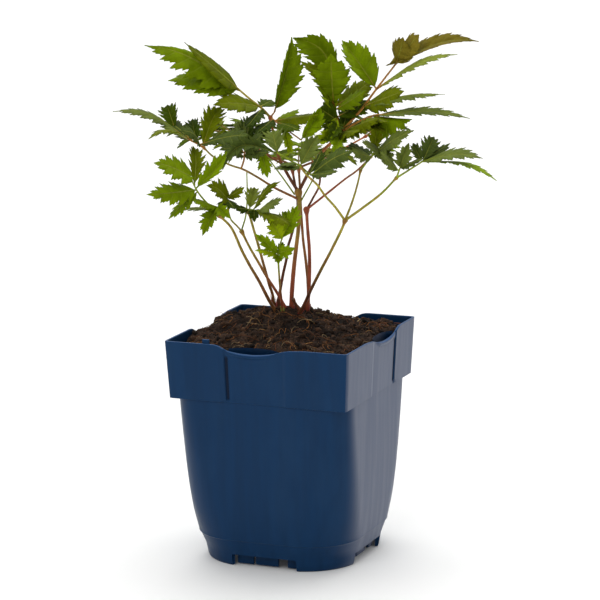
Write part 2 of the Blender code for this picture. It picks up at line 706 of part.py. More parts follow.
def strip(faces, inner, outer, flip):
    """Triangles between two rows of point numbers that share their last point."""
    i = 0
    j = 0
    while i < len(inner) - 1 or j < len(outer) - 1:
        inner_share = (i + 1) / (len(inner) - 1) if i < len(inner) - 1 else 9.0
        outer_share = (j + 1) / (len(outer) - 1) if j < len(outer) - 1 else 9.0
        if outer_share <= inner_share:
            face = (inner[i], outer[j], outer[j + 1])
            j += 1
        else:
            face = (inner[i], outer[j], inner[i + 1])
            i += 1
        if len(set(face)) == 3:
            faces.append(face[::-1] if flip else face)


def leaflet_faces(base, leaf, spread=0.0):
    """Points and triangles of one closed leaflet."""
    upper, lower, rows, tip = leaflet_shape(base, leaf, LEAFLET_MARGIN, spread)
    points = upper + lower + rows[0] + rows[1] + [tip]
    ribs = len(upper)
    edge = len(rows[0])
    last = len(points) - 1
    top = list(range(ribs)) + [last]
    under = list(range(ribs, 2 * ribs)) + [last]
    right = list(range(2 * ribs, 2 * ribs + edge)) + [last]
    left = list(range(2 * ribs + edge, 2 * ribs + 2 * edge)) + [last]
    faces = []
    strip(faces, top, right, False)
    strip(faces, top, left, True)
    strip(faces, under, right, True)
    strip(faces, under, left, False)
    faces.append((top[0], under[0], right[0]))
    faces.append((top[0], left[0], under[0]))
    return points, faces


def mesh_of(points, faces):
    bm = bmesh.new()
    verts = [bm.verts.new(point * MM) for point in points]
    for face in faces:
        bm.faces.new([verts[k] for k in face])
    bmesh.ops.recalc_face_normals(bm, faces=bm.faces)
    return bm


def tree_of_rings(rings):
    """A search tree of a tube."""
    points = [point for ring in rings for point in ring]
    count = len(rings[0])
    faces = []
    for row in range(len(rings) - 1):
        for k in range(count):
            a = row * count + k
            b = row * count + (k + 1) % count
            faces.append((a, b, b + count))
            faces.append((a, b + count, a + count))
    return BVHTree.FromPolygons(points, faces)


def back_spray(name, start, tip, heading, length, reach, rng):
    """A spray of the hidden side: a twig with a leaflet at its end and two pairs along it."""
    angle = math.radians(heading)
    end = tip + Vector((length * math.cos(angle), -length * math.sin(angle), length * BACK_RISE))
    leaflets = []
    for place, aside, share in BACK_PATTERN:
        plan = math.radians(heading + aside + rng.uniform(-HEADING_SPREAD, HEADING_SPREAD))
        drop = math.radians(BACK_DROOP + rng.uniform(-DROOP_SPREAD, DROOP_SPREAD))
        lean = math.asin(-math.sin(plan) * math.cos(drop))
        turn = math.atan2(-math.sin(drop), math.cos(plan) * math.cos(drop))
        size = reach * share * (1.0 + rng.uniform(-REACH_SPREAD, REACH_SPREAD))
        width = size * BACK_SLENDER
        leaf = Leaflet(place, math.degrees(turn), math.degrees(lean), size, width, BACK_FACE, BACK_ARCH)
        leaflets.append(leaf)
    return Spray(name, (start, 1), tuple(end), BACK_GIRTH, tuple(leaflets))


def fork_start(limb, share, end, girth):
    """Where a limb that forks off another starts: 0.3 mm clear of it, on the way to its end."""
    path, radii, tip, hub = limb
    if share == 1:
        return tip + (end - tip).normalized() * (hub + GAP + 0.35 * girth)
    at = share * (len(path) - 4)
    low = int(at)
    point = path[low].lerp(path[low + 1], at - low)
    along = (path[low + 1] - path[low]).normalized()
    away = (end - point).normalized()
    return point + away * (radii[low] + girth / 2 + GAP) / along.cross(away).length


def choose_leaflets(sprays, twigs, trees):
    """Keeps the leaflets that clear every other piece, turning a blocked one by a few steps."""
    kept = {spray.name: [] for spray in sprays}
    steps = [(0, 0)]
    for step in TURN_STEPS:
        steps += [(0, step), (0, -step), (step, 0), (-step, 0)]
    for spray in sprays:
        twig = twigs[spray.name]
        for leaf in spray.leaflets:
            base = point_on(twig, leaf.place)
            for turn, lean in steps:
                tried = leaf._replace(turn=leaf.turn + turn, lean=leaf.lean + lean)
                tree = BVHTree.FromPolygons(*leaflet_faces(base, tried, GAP))
                if any(owner != spray.name and tree.overlap(other) for owner, other in trees):
                    continue
                kept[spray.name].append((base, tried))
                trees.append((spray.name, BVHTree.FromPolygons(*leaflet_faces(base, tried))))
                break
    return kept


def point_on(twig, place):
    """The point at a share of a twig's length."""
    return twig[0] + (twig[1] - twig[0]) * (0.04 + 0.92 * place)


def clear_scene():
    for obj in list(bpy.data.objects):
        bpy.data.objects.remove(obj)


def main():
    clear_scene()
    rng = random.Random(SEED)
    make_pot()
    soil = make_soil()
    soil_mesh = bmesh.new()
    soil_mesh.from_mesh(soil.data)
    ground = BVHTree.FromBMesh(soil_mesh)
    soil_mesh.free()
    limbs = {}
    trees = []
    for stem in STEMS:
        foot = crown(*stem.foot, 0.0)
        foot.z = seat_on(ground, foot, stem.girth[0] / 2)
        path = limb_path(foot, crown(*stem.bow), crown(*stem.tip), stem.girth, STEM_PARTS, HUB_SWELL)
        rings = tube(*path, STEM_SIDES)
        for point in rings[0]:
            point.z = foot.z
        place_object(stem.name, loft(rings), STALK_BROWN, STALK_ROUGHNESS)
        limbs[stem.name] = (*path, crown(*stem.tip), stem.girth[1] * HUB_SWELL / 2)
        trees.append((stem.name, tree_of_rings(rings)))
    for bough in BOUGHS:
        tip = crown(*bough.tip)
        start = fork_start(limbs[bough.start], 1, tip, bough.girth[0])
        path = limb_path(start, crown(*bough.bow), tip, bough.girth, BOUGH_PARTS, FORK_SWELL)
        rings = tube(*path, BOUGH_SIDES)
        place_object(bough.name, loft(rings), STALK_BROWN, STALK_ROUGHNESS)
        limbs[bough.name] = (*path, tip, bough.girth[1] * FORK_SWELL / 2)
        trees.append((bough.name, tree_of_rings(rings)))
    tips = {limb.name: Vector(limb.tip) for limb in STEMS + BOUGHS}
    sprays = list(SPRAYS)
    for name, start, heading, length, reach in BACK_SPRAYS:
        sprays.append(back_spray(name, start, tips[start], heading, length, reach, rng))
    twigs = {}
    rings_of = {}
    for spray in sprays:
        end = crown(*spray.end)
        start = fork_start(limbs[spray.start[0]], spray.start[1], end, spray.girth)
        twigs[spray.name] = (start, end)
        radii = [spray.girth / 2, spray.girth / 2 * TWIG_TAPER]
        rings_of[spray.name] = tube([start, end], radii, TWIG_SIDES)
        trees.append((spray.name, tree_of_rings(rings_of[spray.name])))
    kept = choose_leaflets(sprays, twigs, trees)
    for spray in sprays:
        leaves = helper_collection(f"{spray.name}_leaves")
        for number, (base, leaf) in enumerate(kept[spray.name]):
            bm = mesh_of(*leaflet_faces(base, leaf))
            place_object(f"{spray.name}_leaflet_{number}", bm, LEAF_GREEN, LEAF_ROUGHNESS, leaves)
        twig = place_object(spray.name, loft(rings_of[spray.name]), LEAF_GREEN, LEAF_ROUGHNESS)
        join_by_boolean(twig, leaves, "UNION")
        keep_main_body(twig)


if __name__ == "__main__":
    main()
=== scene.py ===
"""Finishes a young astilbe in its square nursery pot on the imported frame.

Lengths are in millimetres until a mesh is made. Up is +Z, the pot's front wall faces -Y and the pot
stands on z = 0. The crown is laid out in its own plan, which is turned against the pot: its three
measures are across (to the right), toward (to the front) and up.
"""

import json
import logging
import math
import random
from collections.abc import Callable, Iterable, Mapping, Sequence
from dataclasses import dataclass, field
from enum import Enum

import bmesh
import bpy
from mathutils import Matrix, Vector, noise

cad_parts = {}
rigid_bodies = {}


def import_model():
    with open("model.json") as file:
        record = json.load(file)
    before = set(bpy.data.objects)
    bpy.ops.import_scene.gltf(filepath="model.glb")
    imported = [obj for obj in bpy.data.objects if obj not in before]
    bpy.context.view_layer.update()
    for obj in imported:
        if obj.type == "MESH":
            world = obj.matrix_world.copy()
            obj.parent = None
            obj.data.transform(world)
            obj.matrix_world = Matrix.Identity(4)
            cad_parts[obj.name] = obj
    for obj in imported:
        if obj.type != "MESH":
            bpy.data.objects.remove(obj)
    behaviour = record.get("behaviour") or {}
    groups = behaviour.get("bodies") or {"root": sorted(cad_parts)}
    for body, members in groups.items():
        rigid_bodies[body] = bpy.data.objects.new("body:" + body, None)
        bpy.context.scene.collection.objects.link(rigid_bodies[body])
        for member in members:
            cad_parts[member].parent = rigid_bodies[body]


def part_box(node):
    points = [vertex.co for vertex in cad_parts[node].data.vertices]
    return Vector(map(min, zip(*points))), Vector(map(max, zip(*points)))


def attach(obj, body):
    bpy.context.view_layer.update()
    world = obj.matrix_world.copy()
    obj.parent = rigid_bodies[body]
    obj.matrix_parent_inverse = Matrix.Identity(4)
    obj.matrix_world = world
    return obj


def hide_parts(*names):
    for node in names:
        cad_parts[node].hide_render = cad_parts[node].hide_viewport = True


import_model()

log = logging.getLogger("astilbe")

MM = 0.001
# How near two points are merged, in millimetres
MERGE = 0.001
# The crown's plan against the pot, in degrees
CROWN_TURN = 22.2
# What the peat keeps clear of the pot's wall
GAP = 0.3

Colour = tuple[float, float, float, float]
Place = tuple[float, float, float]
Rows = tuple[tuple[float, ...], ...]
Node = bpy.types.Node
Shell = bmesh.types.BMesh
Socket = bpy.types.NodeSocket
Sockets = Mapping[str, str]
Thing = bpy.types.Object
Tree = bpy.types.NodeTree
Vert = bmesh.types.BMVert


def srgb(red: int, green: int, blue: int) -> Colour:
    """Turns a colour as it looks, from 0 to 255, into the linear values that a shader takes.

    Args:
        red: Red share.
        green: Green share.
        blue: Blue share.

    Returns:
        Linear red, green, blue and a full alpha.
    """
    shares = [value / 255 for value in (red, green, blue)]
    linear = [s / 12.92 if s <= 0.04045 else ((s + 0.055) / 1.055) ** 2.4 for s in shares]
    return (linear[0], linear[1], linear[2], 1.0)


def between(first: Colour, second: Colour, share: float) -> Colour:
    """Gives the colour at a share of the way between two."""
    return tuple(a + (b - a) * share for a, b in zip(first, second))


def crown(across: float, toward: float, up: float) -> Vector:
    """Gives a place of the crown's plan in the pot's axes.

    Args:
        across: To the right in the front view.
        toward: To the front.
        up: Above the ground.

    Returns:
        The place as a vector in millimetres.
    """
    turn = math.radians(CROWN_TURN)
    x = across * math.cos(turn) + toward * math.sin(turn)
    y = across * math.sin(turn) - toward * math.cos(turn)
    return Vector((x, y, up))


def crown_way(places: Iterable[Place]) -> list[Vector]:
    """Gives places of the crown's plan in the pot's axes."""
    return [crown(*place) for place in places]


def quarter_turn(quarter: int) -> Matrix:
    """Gives the turn from the pot's front to another side: 1 is the right, 2 the back, 3 the left."""
    return Matrix.Rotation(math.radians(90 * quarter), 3, "Z")


def smooth(value: float, low: float, high: float) -> float:
    """Rises softly from 0 at low to 1 at high."""
    share = min(max((value - low) / (high - low), 0.0), 1.0)
    return share * share * (3 - 2 * share)


def along_table(table: Sequence[Sequence[float]], at: float) -> list[float]:
    """Reads a table of rows by its first column, with straight steps between the rows.

    Args:
        table: Rows whose first value rises.
        at: The first value to read at.

    Returns:
        The other values of the row.
    """
    for low, high in zip(table, table[1:]):
        if at <= high[0]:
            share = min(max((at - low[0]) / (high[0] - low[0]), 0.0), 1.0)
            return [a + (b - a) * share for a, b in zip(low[1:], high[1:])]
    return list(table[-1][1:])


# Shaders


@dataclass(frozen=True)
class Mottle:
    """How a colour varies over a surface: how finely, how far and how drawn out."""

    scale: float
    amount: float
    stretch: Place = (1.0, 1.0, 1.0)


@dataclass(frozen=True)
class Grain:
    """How rough a surface is: how finely, how deep in metres and how drawn out."""

    scale: float
    depth: float
    stretch: Place = (1.0, 1.0, 1.0)


class Wiring:
    """Adds nodes to one tree and links them."""

    def __init__(self, tree: Tree) -> None:
        """Keeps the tree."""
        self.tree = tree

    def fill(self, node: Node, inputs: Mapping) -> None:
        """Fills a node's inputs: a socket is linked, anything else is the input's own value."""
        for name, value in inputs.items():
            if isinstance(value, Socket):
                self.tree.links.new(value, node.inputs[name])
            else:
                node.inputs[name].default_value = value

    def node(self, kind: str, inputs: Mapping | None = None, **settings) -> Node:
        """Adds a node.

        Args:
            kind: The node's type name.
            inputs: Values or sockets for its inputs, by name or number.
            **settings: Its own properties.

        Returns:
            The node.
        """
        made = self.tree.nodes.new(kind)
        for name, value in settings.items():
            setattr(made, name, value)
        self.fill(made, inputs or {})
        return made

    def maths(self, operation: str, first: object, second: object = 0.0) -> Socket:
        """Adds a Math node and gives its result."""
        inputs = {0: first, 1: second}
        return self.node("ShaderNodeMath", inputs, operation=operation).outputs[0]

    def ease(
        self, value: object, low: float, high: float, start: float = 0.0, end: float = 1.0
    ) -> Socket:
        """Maps a value softly from low..high to start..end.

        Args:
            value: The socket to map.
            low: Where the rise starts.
            high: Where it ends.
            start: The result at low.
            end: The result at high.

        Returns:
            The mapped value.
        """
        inputs = {"Value": value, "From Min": low, "From Max": high, "To Min": start, "To Max": end}
        made = self.node("ShaderNodeMapRange", inputs, interpolation_type="SMOOTHSTEP")
        return made.outputs["Result"]

    def blend(self, share: object, first: object, second: object) -> Socket:
        """Mixes two colours by the share of the second."""
        inputs = {0: share, 6: first, 7: second}
        return self.node("ShaderNodeMix", inputs, data_type="RGBA").outputs[2]

    def part(self, vector: Socket, axis: str) -> Socket:
        """Gives one measure of a vector, by its axis."""
        return self.node("ShaderNodeSeparateXYZ", {0: vector}).outputs[axis]

    def spot(self) -> Socket:
        """Gives the place on the object, in metres."""
        return self.node("ShaderNodeTexCoord").outputs["Object"]

    def mark(self, name: str, kind: str = "Color") -> Socket:
        """Gives the mesh's own attribute of a name, as a colour or as its value, Fac."""
        return self.node("ShaderNodeAttribute", attribute_name=name).outputs[kind]

    def mottle(self, colour: object, look: Mottle) -> Node:
        """Places the group that varies a colour, with outputs Color and Mask."""
        values = {"Color": colour, "Scale": look.scale, "Amount": look.amount, "Stretch": look.stretch}
        return self.node("ShaderNodeGroup", values, node_tree=EFFECTS.mottle())

    def grain(self, look: Grain, height: object = 0.0) -> Socket:
        """Places the group that roughens a surface, on top of a height of its own."""
        values = {"Scale": look.scale, "Stretch": look.stretch, "Depth": look.depth, "Height": height}
        return self.node("ShaderNodeGroup", values, node_tree=EFFECTS.grain()).outputs["Normal"]


COLOUR = "NodeSocketColor"
VALUE = "NodeSocketFloat"
VECTOR = "NodeSocketVector"


def group_tree(name: str, inputs: Sockets, outputs: Sockets) -> tuple[Wiring, Node, Node]:
    """Makes an empty shader group with its sockets.

    Args:
        name: The group's name.
        inputs: Input names and socket kinds.
        outputs: Output names and socket kinds.

    Returns:
        The tree's wiring, its input node and its output node.
    """
    tree = bpy.data.node_groups.new(name, "ShaderNodeTree")
    for way, sockets in (("INPUT", inputs), ("OUTPUT", outputs)):
        for title, kind in sockets.items():
            tree.interface.new_socket(name=title, in_out=way, socket_type=kind)
    return Wiring(tree), tree.nodes.new("NodeGroupInput"), tree.nodes.new("NodeGroupOutput")


class Effects:
    """The shader groups that several finishes share, each built once."""

    def __init__(self) -> None:
        """Starts with no group built."""
        self.built: dict[str, Tree] = {}

    def cloud(self, wires: Wiring, start: Node, detail: float, roughness: float) -> Socket:
        """Adds the stretched noise that both groups read.

        Args:
            wires: The group's wiring.
            start: The group's input node, with Scale and Stretch.
            detail: The noise's layers.
            roughness: How much its finer layers count.

        Returns:
            The noise, from 0 to 1.
        """
        inputs = {"Vector": wires.spot(), "Scale": start.outputs["Stretch"]}
        placed = wires.node("ShaderNodeMapping", inputs).outputs[0]
        scale = start.outputs["Scale"]
        inputs = {"Vector": placed, "Scale": scale, "Detail": detail, "Roughness": roughness}
        return wires.node("ShaderNodeTexNoise", inputs).outputs["Fac"]

    def mottle(self) -> Tree:
        """Gives the group that varies a colour over the surface.

        Returns:
            A group with inputs Color, Scale, Amount and Stretch, and outputs Color and Mask.
        """
        if "mottle" not in self.built:
            kinds = {"Color": COLOUR, "Scale": VALUE, "Amount": VALUE, "Stretch": VECTOR}
            wires, start, end = group_tree("mottle", kinds, {"Color": COLOUR, "Mask": VALUE})
            mask = wires.ease(self.cloud(wires, start, 4.0, 0.6), 0.3, 0.7)
            swing = wires.maths("MULTIPLY", wires.maths("SUBTRACT", mask, 0.5), start.outputs["Amount"])
            inputs = {0: start.outputs["Color"], "Scale": wires.maths("ADD", swing, 1.0)}
            scaled = wires.node("ShaderNodeVectorMath", inputs, operation="SCALE").outputs[0]
            wires.fill(end, {"Color": scaled, "Mask": mask})
            self.built["mottle"] = wires.tree
        return self.built["mottle"]

    def grain(self) -> Tree:
        """Gives the group that turns a fine noise and a height into a normal.

        Returns:
            A group with inputs Scale, Stretch, Depth and Height, and output Normal.
        """
        if "grain" not in self.built:
            kinds = {"Scale": VALUE, "Stretch": VECTOR, "Depth": VALUE, "Height": VALUE}
            wires, start, end = group_tree("grain", kinds, {"Normal": VECTOR})
            height = wires.maths("ADD", self.cloud(wires, start, 5.0, 0.62), start.outputs["Height"])
            inputs = {"Height": height, "Distance": start.outputs["Depth"], "Strength": 1.0}
            wires.fill(end, {"Normal": wires.node("ShaderNodeBump", inputs).outputs["Normal"]})
            self.built["grain"] = wires.tree
        return self.built["grain"]


EFFECTS = Effects()
# Noise drawn out along the height
LENGTHWISE = (1.0, 1.0, 0.15)


def new_material(name: str) -> tuple[bpy.types.Material, Wiring, Node]:
    """Makes a material with one Principled shader.

    Args:
        name: The material's name.

    Returns:
        The material, the wiring of its tree and its shader.
    """
    made = bpy.data.materials.new(name)
    made.use_nodes = True
    return made, Wiring(made.node_tree), made.node_tree.nodes["Principled BSDF"]


@dataclass(frozen=True)
class PotPlastic:
    """Blue moulded plastic, half matt, with faint upright flow marks, a painted highlight on the faces
    that look up and painted shade in its grooves. Its right side carries a painted grey sheen that
    shows at a low angle."""

    colour: Colour = srgb(11, 46, 80)
    flow: Colour = srgb(20, 52, 84)
    # Painted highlight on the faces that look up, as if lit from above
    upper: Colour = srgb(54, 88, 134)
    # Painted shade in the grooves
    groove: Colour = srgb(5, 15, 34)
    # Painted grey sheen of the right side, with where it starts along the width and how far it fades in
    bloom_and_painted_sheen: Colour = srgb(90, 98, 118)
    painted_sheen_from: float = 20.0
    painted_sheen_fade: float = 8.0
    roughness: float = 0.36
    sheen: float = 0.1
    streaks: Mottle = Mottle(220.0, 0.16, (1.0, 1.0, 0.05))
    clouds: Mottle = Mottle(32.0, 0.25, (1.0, 1.0, 0.45))
    grain: Grain = Grain(320.0, 0.00006, (1.0, 1.0, 0.12))

    def painted_sheen_share(self, wires: Wiring, normal: Socket) -> Socket:
        """Gives how much of the painted grey sheen shows at a place.

        Args:
            wires: The material's wiring.
            normal: The surface's normal.

        Returns:
            The share of the painted sheen.
        """
        facing = wires.node("ShaderNodeLayerWeight", {"Blend": 0.5}).outputs["Facing"]
        low = wires.ease(facing, 0.25, 0.75)
        right = wires.ease(wires.part(normal, "X"), 0.45, 0.98)
        start, end = self.painted_sheen_from * MM, (self.painted_sheen_from + self.painted_sheen_fade) * MM
        beyond = wires.ease(wires.part(wires.spot(), "X"), start, end)
        return wires.maths("MULTIPLY", wires.maths("MULTIPLY", low, right), beyond)

    def build(self) -> bpy.types.Material:
        """Wires the plastic.

        Returns:
            The material.
        """
        made, wires, shader = new_material("pot_plastic")
        streaks = wires.mottle(self.colour, self.streaks)
        clouds = wires.mottle(self.flow, self.clouds)
        share = wires.ease(clouds.outputs["Mask"], 0.55, 1.0, 0.0, 0.35)
        colour = wires.blend(share, streaks.outputs["Color"], clouds.outputs["Color"])
        normal = wires.node("ShaderNodeNewGeometry").outputs["Normal"]
        # Painted sheen: the right side turns pale grey where it is seen at a low angle
        colour = wires.blend(self.painted_sheen_share(wires, normal), colour, self.bloom_and_painted_sheen)
        # Painted highlight: the faces that look up turn paler
        up = wires.ease(wires.part(normal, "Z"), 0.2, 0.9, 0.0, 0.8)
        colour = wires.blend(up, colour, self.upper)
        # Painted shade: the grooves, from the mesh's sunk mark, turn darker
        sunk = wires.maths("MULTIPLY", wires.mark("sunk", "Fac"), 0.85)
        low, high = self.roughness - 0.05, self.roughness + 0.07
        values = {
            "Base Color": wires.blend(sunk, colour, self.groove),
            "Roughness": wires.ease(streaks.outputs["Mask"], 0.0, 1.0, low, high),
            "Specular IOR Level": self.sheen,
            "Normal": wires.grain(self.grain),
        }
        wires.fill(shader, values)
        return made


@dataclass(frozen=True)
class Peat:
    """Dark fibrous peat, tinted by its own attribute."""

    roughness: float = 0.95
    sheen: float = 0.25
    coarse: Mottle = Mottle(240.0, 0.9)
    fine: Mottle = Mottle(1100.0, 0.8)
    grain: Grain = Grain(900.0, 0.0006)

    def build(self) -> bpy.types.Material:
        """Wires the peat.

        Returns:
            The material.
        """
        made, wires, shader = new_material("peat")
        coarse = wires.mottle(wires.mark("tint"), self.coarse).outputs["Color"]
        values = {
            "Base Color": wires.mottle(coarse, self.fine).outputs["Color"],
            "Roughness": self.roughness,
            "Specular IOR Level": self.sheen,
            "Normal": wires.grain(self.grain),
        }
        wires.fill(shader, values)
        return made


@dataclass(frozen=True)
class Stalk:
    """Fresh stalk skin, tinted by its own attribute, with fine lengthwise marks."""

    name: str = "stalk_skin"
    roughness: float = 0.42
    grain: Grain = Grain(900.0, 0.00012, LENGTHWISE)
    sheen: float = 0.12
    marks: Mottle = Mottle(420.0, 0.5, (1.0, 1.0, 0.18))

    def build(self) -> bpy.types.Material:
        """Wires the skin.

        Returns:
            The material.
        """
        made, wires, shader = new_material(self.name)
        values = {
            "Base Color": wires.mottle(wires.mark("tint"), self.marks).outputs["Color"],
            "Roughness": self.roughness,
            "Specular IOR Level": self.sheen,
            "Normal": wires.grain(self.grain),
        }
        wires.fill(shader, values)
        return made


@dataclass(frozen=True)
class LeafSkin:
    """One face of the blades: tinted by attribute, with veins drawn on the blade's own map.

    The map's first measure counts the teeth from the blade's foot, so each whole number is a side
    vein. The second runs from -1 to 1 across the blade.
    """

    name: str
    roughness: float
    pale: float
    vein_share: float
    rib_share: float = 0.45
    sheen: float = 0.03
    # Pale tone of the blade's underside, mixed in by the share in pale
    bloom_and_painted_sheen: Colour = srgb(140, 155, 90)
    vein: Colour = srgb(140, 150, 50)
    rib: Colour = srgb(150, 146, 50)
    clouds: Mottle = Mottle(170.0, 0.35)
    cells: float = 900.0
    grain: Grain = Grain(700.0, 0.00012)

    def veins(self, wires: Wiring) -> tuple[Socket, Socket]:
        """Draws the masks of the midrib and of the side veins.

        Args:
            wires: The material's wiring.

        Returns:
            The midrib's mask and the side veins' mask.
        """
        spot = wires.node("ShaderNodeUVMap", uv_map="blade").outputs["UV"]
        aside = wires.maths("ABSOLUTE", wires.part(spot, "Y"))
        midrib = wires.ease(aside, 0.025, 0.075, 1.0, 0.0)
        beat = wires.maths("FRACT", wires.maths("ADD", wires.part(spot, "X"), 0.5))
        off = wires.maths("ABSOLUTE", wires.maths("SUBTRACT", beat, 0.5))
        line = wires.ease(off, 0.02, 0.09, 1.0, 0.0)
        fade = wires.ease(aside, 0.55, 1.0, 1.0, 0.15)
        return midrib, wires.maths("MULTIPLY", line, fade)

    def build(self) -> bpy.types.Material:
        """Wires the leaf's skin.

        Returns:
            The material.
        """
        made, wires, shader = new_material(self.name)
        skin = wires.mottle(wires.mark("tint"), self.clouds)
        midrib, side = self.veins(wires)
        base = wires.blend(self.pale, skin.outputs["Color"], self.bloom_and_painted_sheen)
        veined = wires.blend(wires.maths("MULTIPLY", side, self.vein_share), base, self.vein)
        net = {"Vector": wires.spot(), "Scale": self.cells}
        net = wires.node("ShaderNodeTexVoronoi", net, feature="DISTANCE_TO_EDGE")
        cells = wires.ease(net.outputs["Distance"], 0.0, 0.12, 0.0, 0.6)
        sunk = wires.maths("SUBTRACT", cells, wires.maths("MULTIPLY", side, 1.2))
        sunk = wires.maths("SUBTRACT", sunk, wires.maths("MULTIPLY", midrib, 1.5))
        low, high = self.roughness - 0.05, self.roughness + 0.08
        values = {
            "Base Color": wires.blend(wires.maths("MULTIPLY", midrib, self.rib_share), veined, self.rib),
            "Roughness": wires.ease(skin.outputs["Mask"], 0.0, 1.0, low, high),
            "Specular IOR Level": self.sheen,
            "Normal": wires.grain(self.grain, sunk),
        }
        wires.fill(shader, values)
        return made


@dataclass(frozen=True)
class FloorFinish:
    """Plain pale studio floor."""

    colour: Colour = (0.9, 0.9, 0.89, 1.0)
    glow: float = 0.02

    def build(self) -> bpy.types.Material:
        """Wires the floor.

        Returns:
            The material.
        """
        made, wires, shader = new_material("studio_floor")
        values = {
            "Base Color": self.colour,
            "Emission Color": (1.0, 1.0, 1.0, 1.0),
            "Emission Strength": self.glow,
            "Roughness": 0.9,
            "Specular IOR Level": 0.1,
        }
        wires.fill(shader, values)
        return made


# Mesh tools

# Ridges round a limb, and how far they wind from one of its rows to the next, in radians
RIDGES = 5
RIDGE_TWIST = 0.12


def gridded(columns: int, rows: int, place: Callable[[int, int], Vector]) -> Shell:
    """Makes a grid and puts each of its points where a function says.

    Args:
        columns: Faces along the first way.
        rows: Faces along the second way.
        place: Gives a point in millimetres from its column and row.

    Returns:
        The grid, with its column and row kept in the layers "column" and "row".
    """
    bm = bmesh.new()
    column = bm.verts.layers.int.new("column")
    row = bm.verts.layers.int.new("row")
    bmesh.ops.create_grid(bm, x_segments=columns, y_segments=rows, size=1.0)
    for vert in bm.verts:
        i = round((vert.co.x + 1) / 2 * columns)
        j = round((vert.co.y + 1) / 2 * rows)
        vert[column] = i
        vert[row] = j
        vert.co = place(i, j) * MM
    return bm


def weld(bm: Shell) -> None:
    """Closes the seams of a wrapped grid and turns its faces outwards."""
    bmesh.ops.remove_doubles(bm, verts=bm.verts, dist=MERGE * MM)
    bmesh.ops.dissolve_degenerate(bm, edges=bm.edges, dist=MERGE * MM / 4)
    bmesh.ops.recalc_face_normals(bm, faces=bm.faces)


def thicken(bm: Shell, wall: float) -> None:
    """Gives a sheet a wall and turns its faces outwards."""
    bmesh.ops.solidify(bm, geom=bm.faces[:], thickness=wall * MM)
    bmesh.ops.recalc_face_normals(bm, faces=bm.faces)


def put(name: str, data: bpy.types.ID) -> Thing:
    """Makes an object of a mesh, a light or a camera and links it to the scene."""
    made = bpy.data.objects.new(name, data)
    bpy.context.scene.collection.objects.link(made)
    return made


def set_tint(bm: Shell, colour: Callable[[Vert], Colour] | Colour) -> None:
    """Writes the points' tints.

    Args:
        bm: The shell.
        colour: One tint for all, or a function that gives each point's.
    """
    layer = bm.verts.layers.float_color.get("tint") or bm.verts.layers.float_color.new("tint")
    for vert in bm.verts:
        vert[layer] = colour(vert) if callable(colour) else colour


def frames(path: Sequence[Vector]) -> list[tuple[Vector, Vector]]:
    """Gives two directions square to a path at each of its points, without twist.

    Args:
        path: The points.

    Returns:
        For each point its side and its other side.
    """
    found = []
    side = None
    for k in range(len(path)):
        along = (path[min(k + 1, len(path) - 1)] - path[max(k - 1, 0)]).normalized()
        side = along.orthogonal() if side is None else side
        side = (side - along * side.dot(along)).normalized()
        found.append((side, along.cross(side)))
    return found


def rod(
    path: Sequence[Vector], radii: Sequence[float], sides: int, ridges: float = 0.0, phase: float = 0.0
) -> Shell:
    """Makes a closed limb along a path, with lengthwise ridges.

    Args:
        path: The points of its centre line.
        radii: Its radius at each point.
        sides: Points round it.
        ridges: How far the ridges stand out, as a share of the radius.
        phase: Where the first ridge lies.

    Returns:
        The limb.
    """
    ways = frames(path)
    last = len(path) - 1

    def place(i: int, j: int) -> Vector:
        """Puts one point of the limb: the end rows close it."""
        row = min(max(j - 1, 0), last)
        if j in (0, last + 2):
            return path[row].copy()
        angle = 2 * math.pi * (i % sides) / sides
        side, other = ways[row]
        ripple = 1.0 + ridges * math.sin(RIDGES * angle + phase + row * RIDGE_TWIST)
        return path[row] + (side * math.cos(angle) + other * math.sin(angle)) * radii[row] * ripple

    bm = gridded(sides, last + 2, place)
    weld(bm)
    return bm


@dataclass
class Piece:
    """One object of the finished model, gathered from many small shells."""

    name: str
    slot: str
    nodes: tuple[str, ...]
    materials: list[bpy.types.Material]
    mesh: Shell = field(default_factory=bmesh.new)

    def add(self, bm: Shell) -> None:
        """Takes in a shell and frees it."""
        passing = bpy.data.meshes.new("passing")
        bm.to_mesh(passing)
        bm.free()
        self.mesh.from_mesh(passing)
        bpy.data.meshes.remove(passing)

    def finish(self, sharp: float | None = None, thickness: float = 0.0) -> Thing:
        """Makes the object, dresses it and puts it on the frame.

        Args:
            sharp: The angle past which an edge stays crisp, where one does.
            thickness: Wall that a sheet gets, in millimetres.

        Returns:
            The object.
        """
        mesh = bpy.data.meshes.new(self.name)
        self.mesh.to_mesh(mesh)
        self.mesh.free()
        for made in self.materials:
            mesh.materials.append(made)
        mesh.shade_smooth()
        if sharp is not None:
            mesh.set_sharp_from_angle(angle=math.radians(sharp))
        made = put(self.name, mesh)
        if thickness:
            wall = made.modifiers.new("wall", "SOLIDIFY")
            wall.thickness = thickness * MM
            wall.offset = -1.0
            wall.material_offset = len(self.materials) - 1
        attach(made, "root")
        if self.nodes:
            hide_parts(*self.nodes)
        log.info("%s: %d faces", self.name, len(mesh.polygons))
        return made


def soften_edges(bm: Shell, edges: Sequence[bmesh.types.BMEdge], reach: float) -> None:
    """Rounds some edges of a shell, as far as reach to each side."""
    bevel = {"segments": 2, "profile": 0.5, "affect": "EDGES", "material": -1}
    bmesh.ops.bevel(bm, geom=edges, offset=reach * MM, **bevel)


def block(low: Place, high: Place, soften: float, quarter: int = 0) -> Shell:
    """Makes a box with softened edges, turned to one of the pot's sides.

    Args:
        low: Its lowest corner.
        high: Its highest corner.
        soften: Bevel of its edges.
        quarter: The side that it is turned to.

    Returns:
        The box.
    """
    bm = bmesh.new()
    size = [b - a for a, b in zip(low, high)]
    middle = Vector([(a + b) / 2 for a, b in zip(low, high)]) * MM
    matrix = Matrix.Translation(middle) @ Matrix.Diagonal((*(s * MM for s in size), 1.0))
    bmesh.ops.create_cube(bm, size=1.0, matrix=matrix)
    soften_edges(bm, bm.edges[:], soften)
    bmesh.ops.rotate(bm, verts=bm.verts, cent=(0, 0, 0), matrix=quarter_turn(quarter))
    return bm


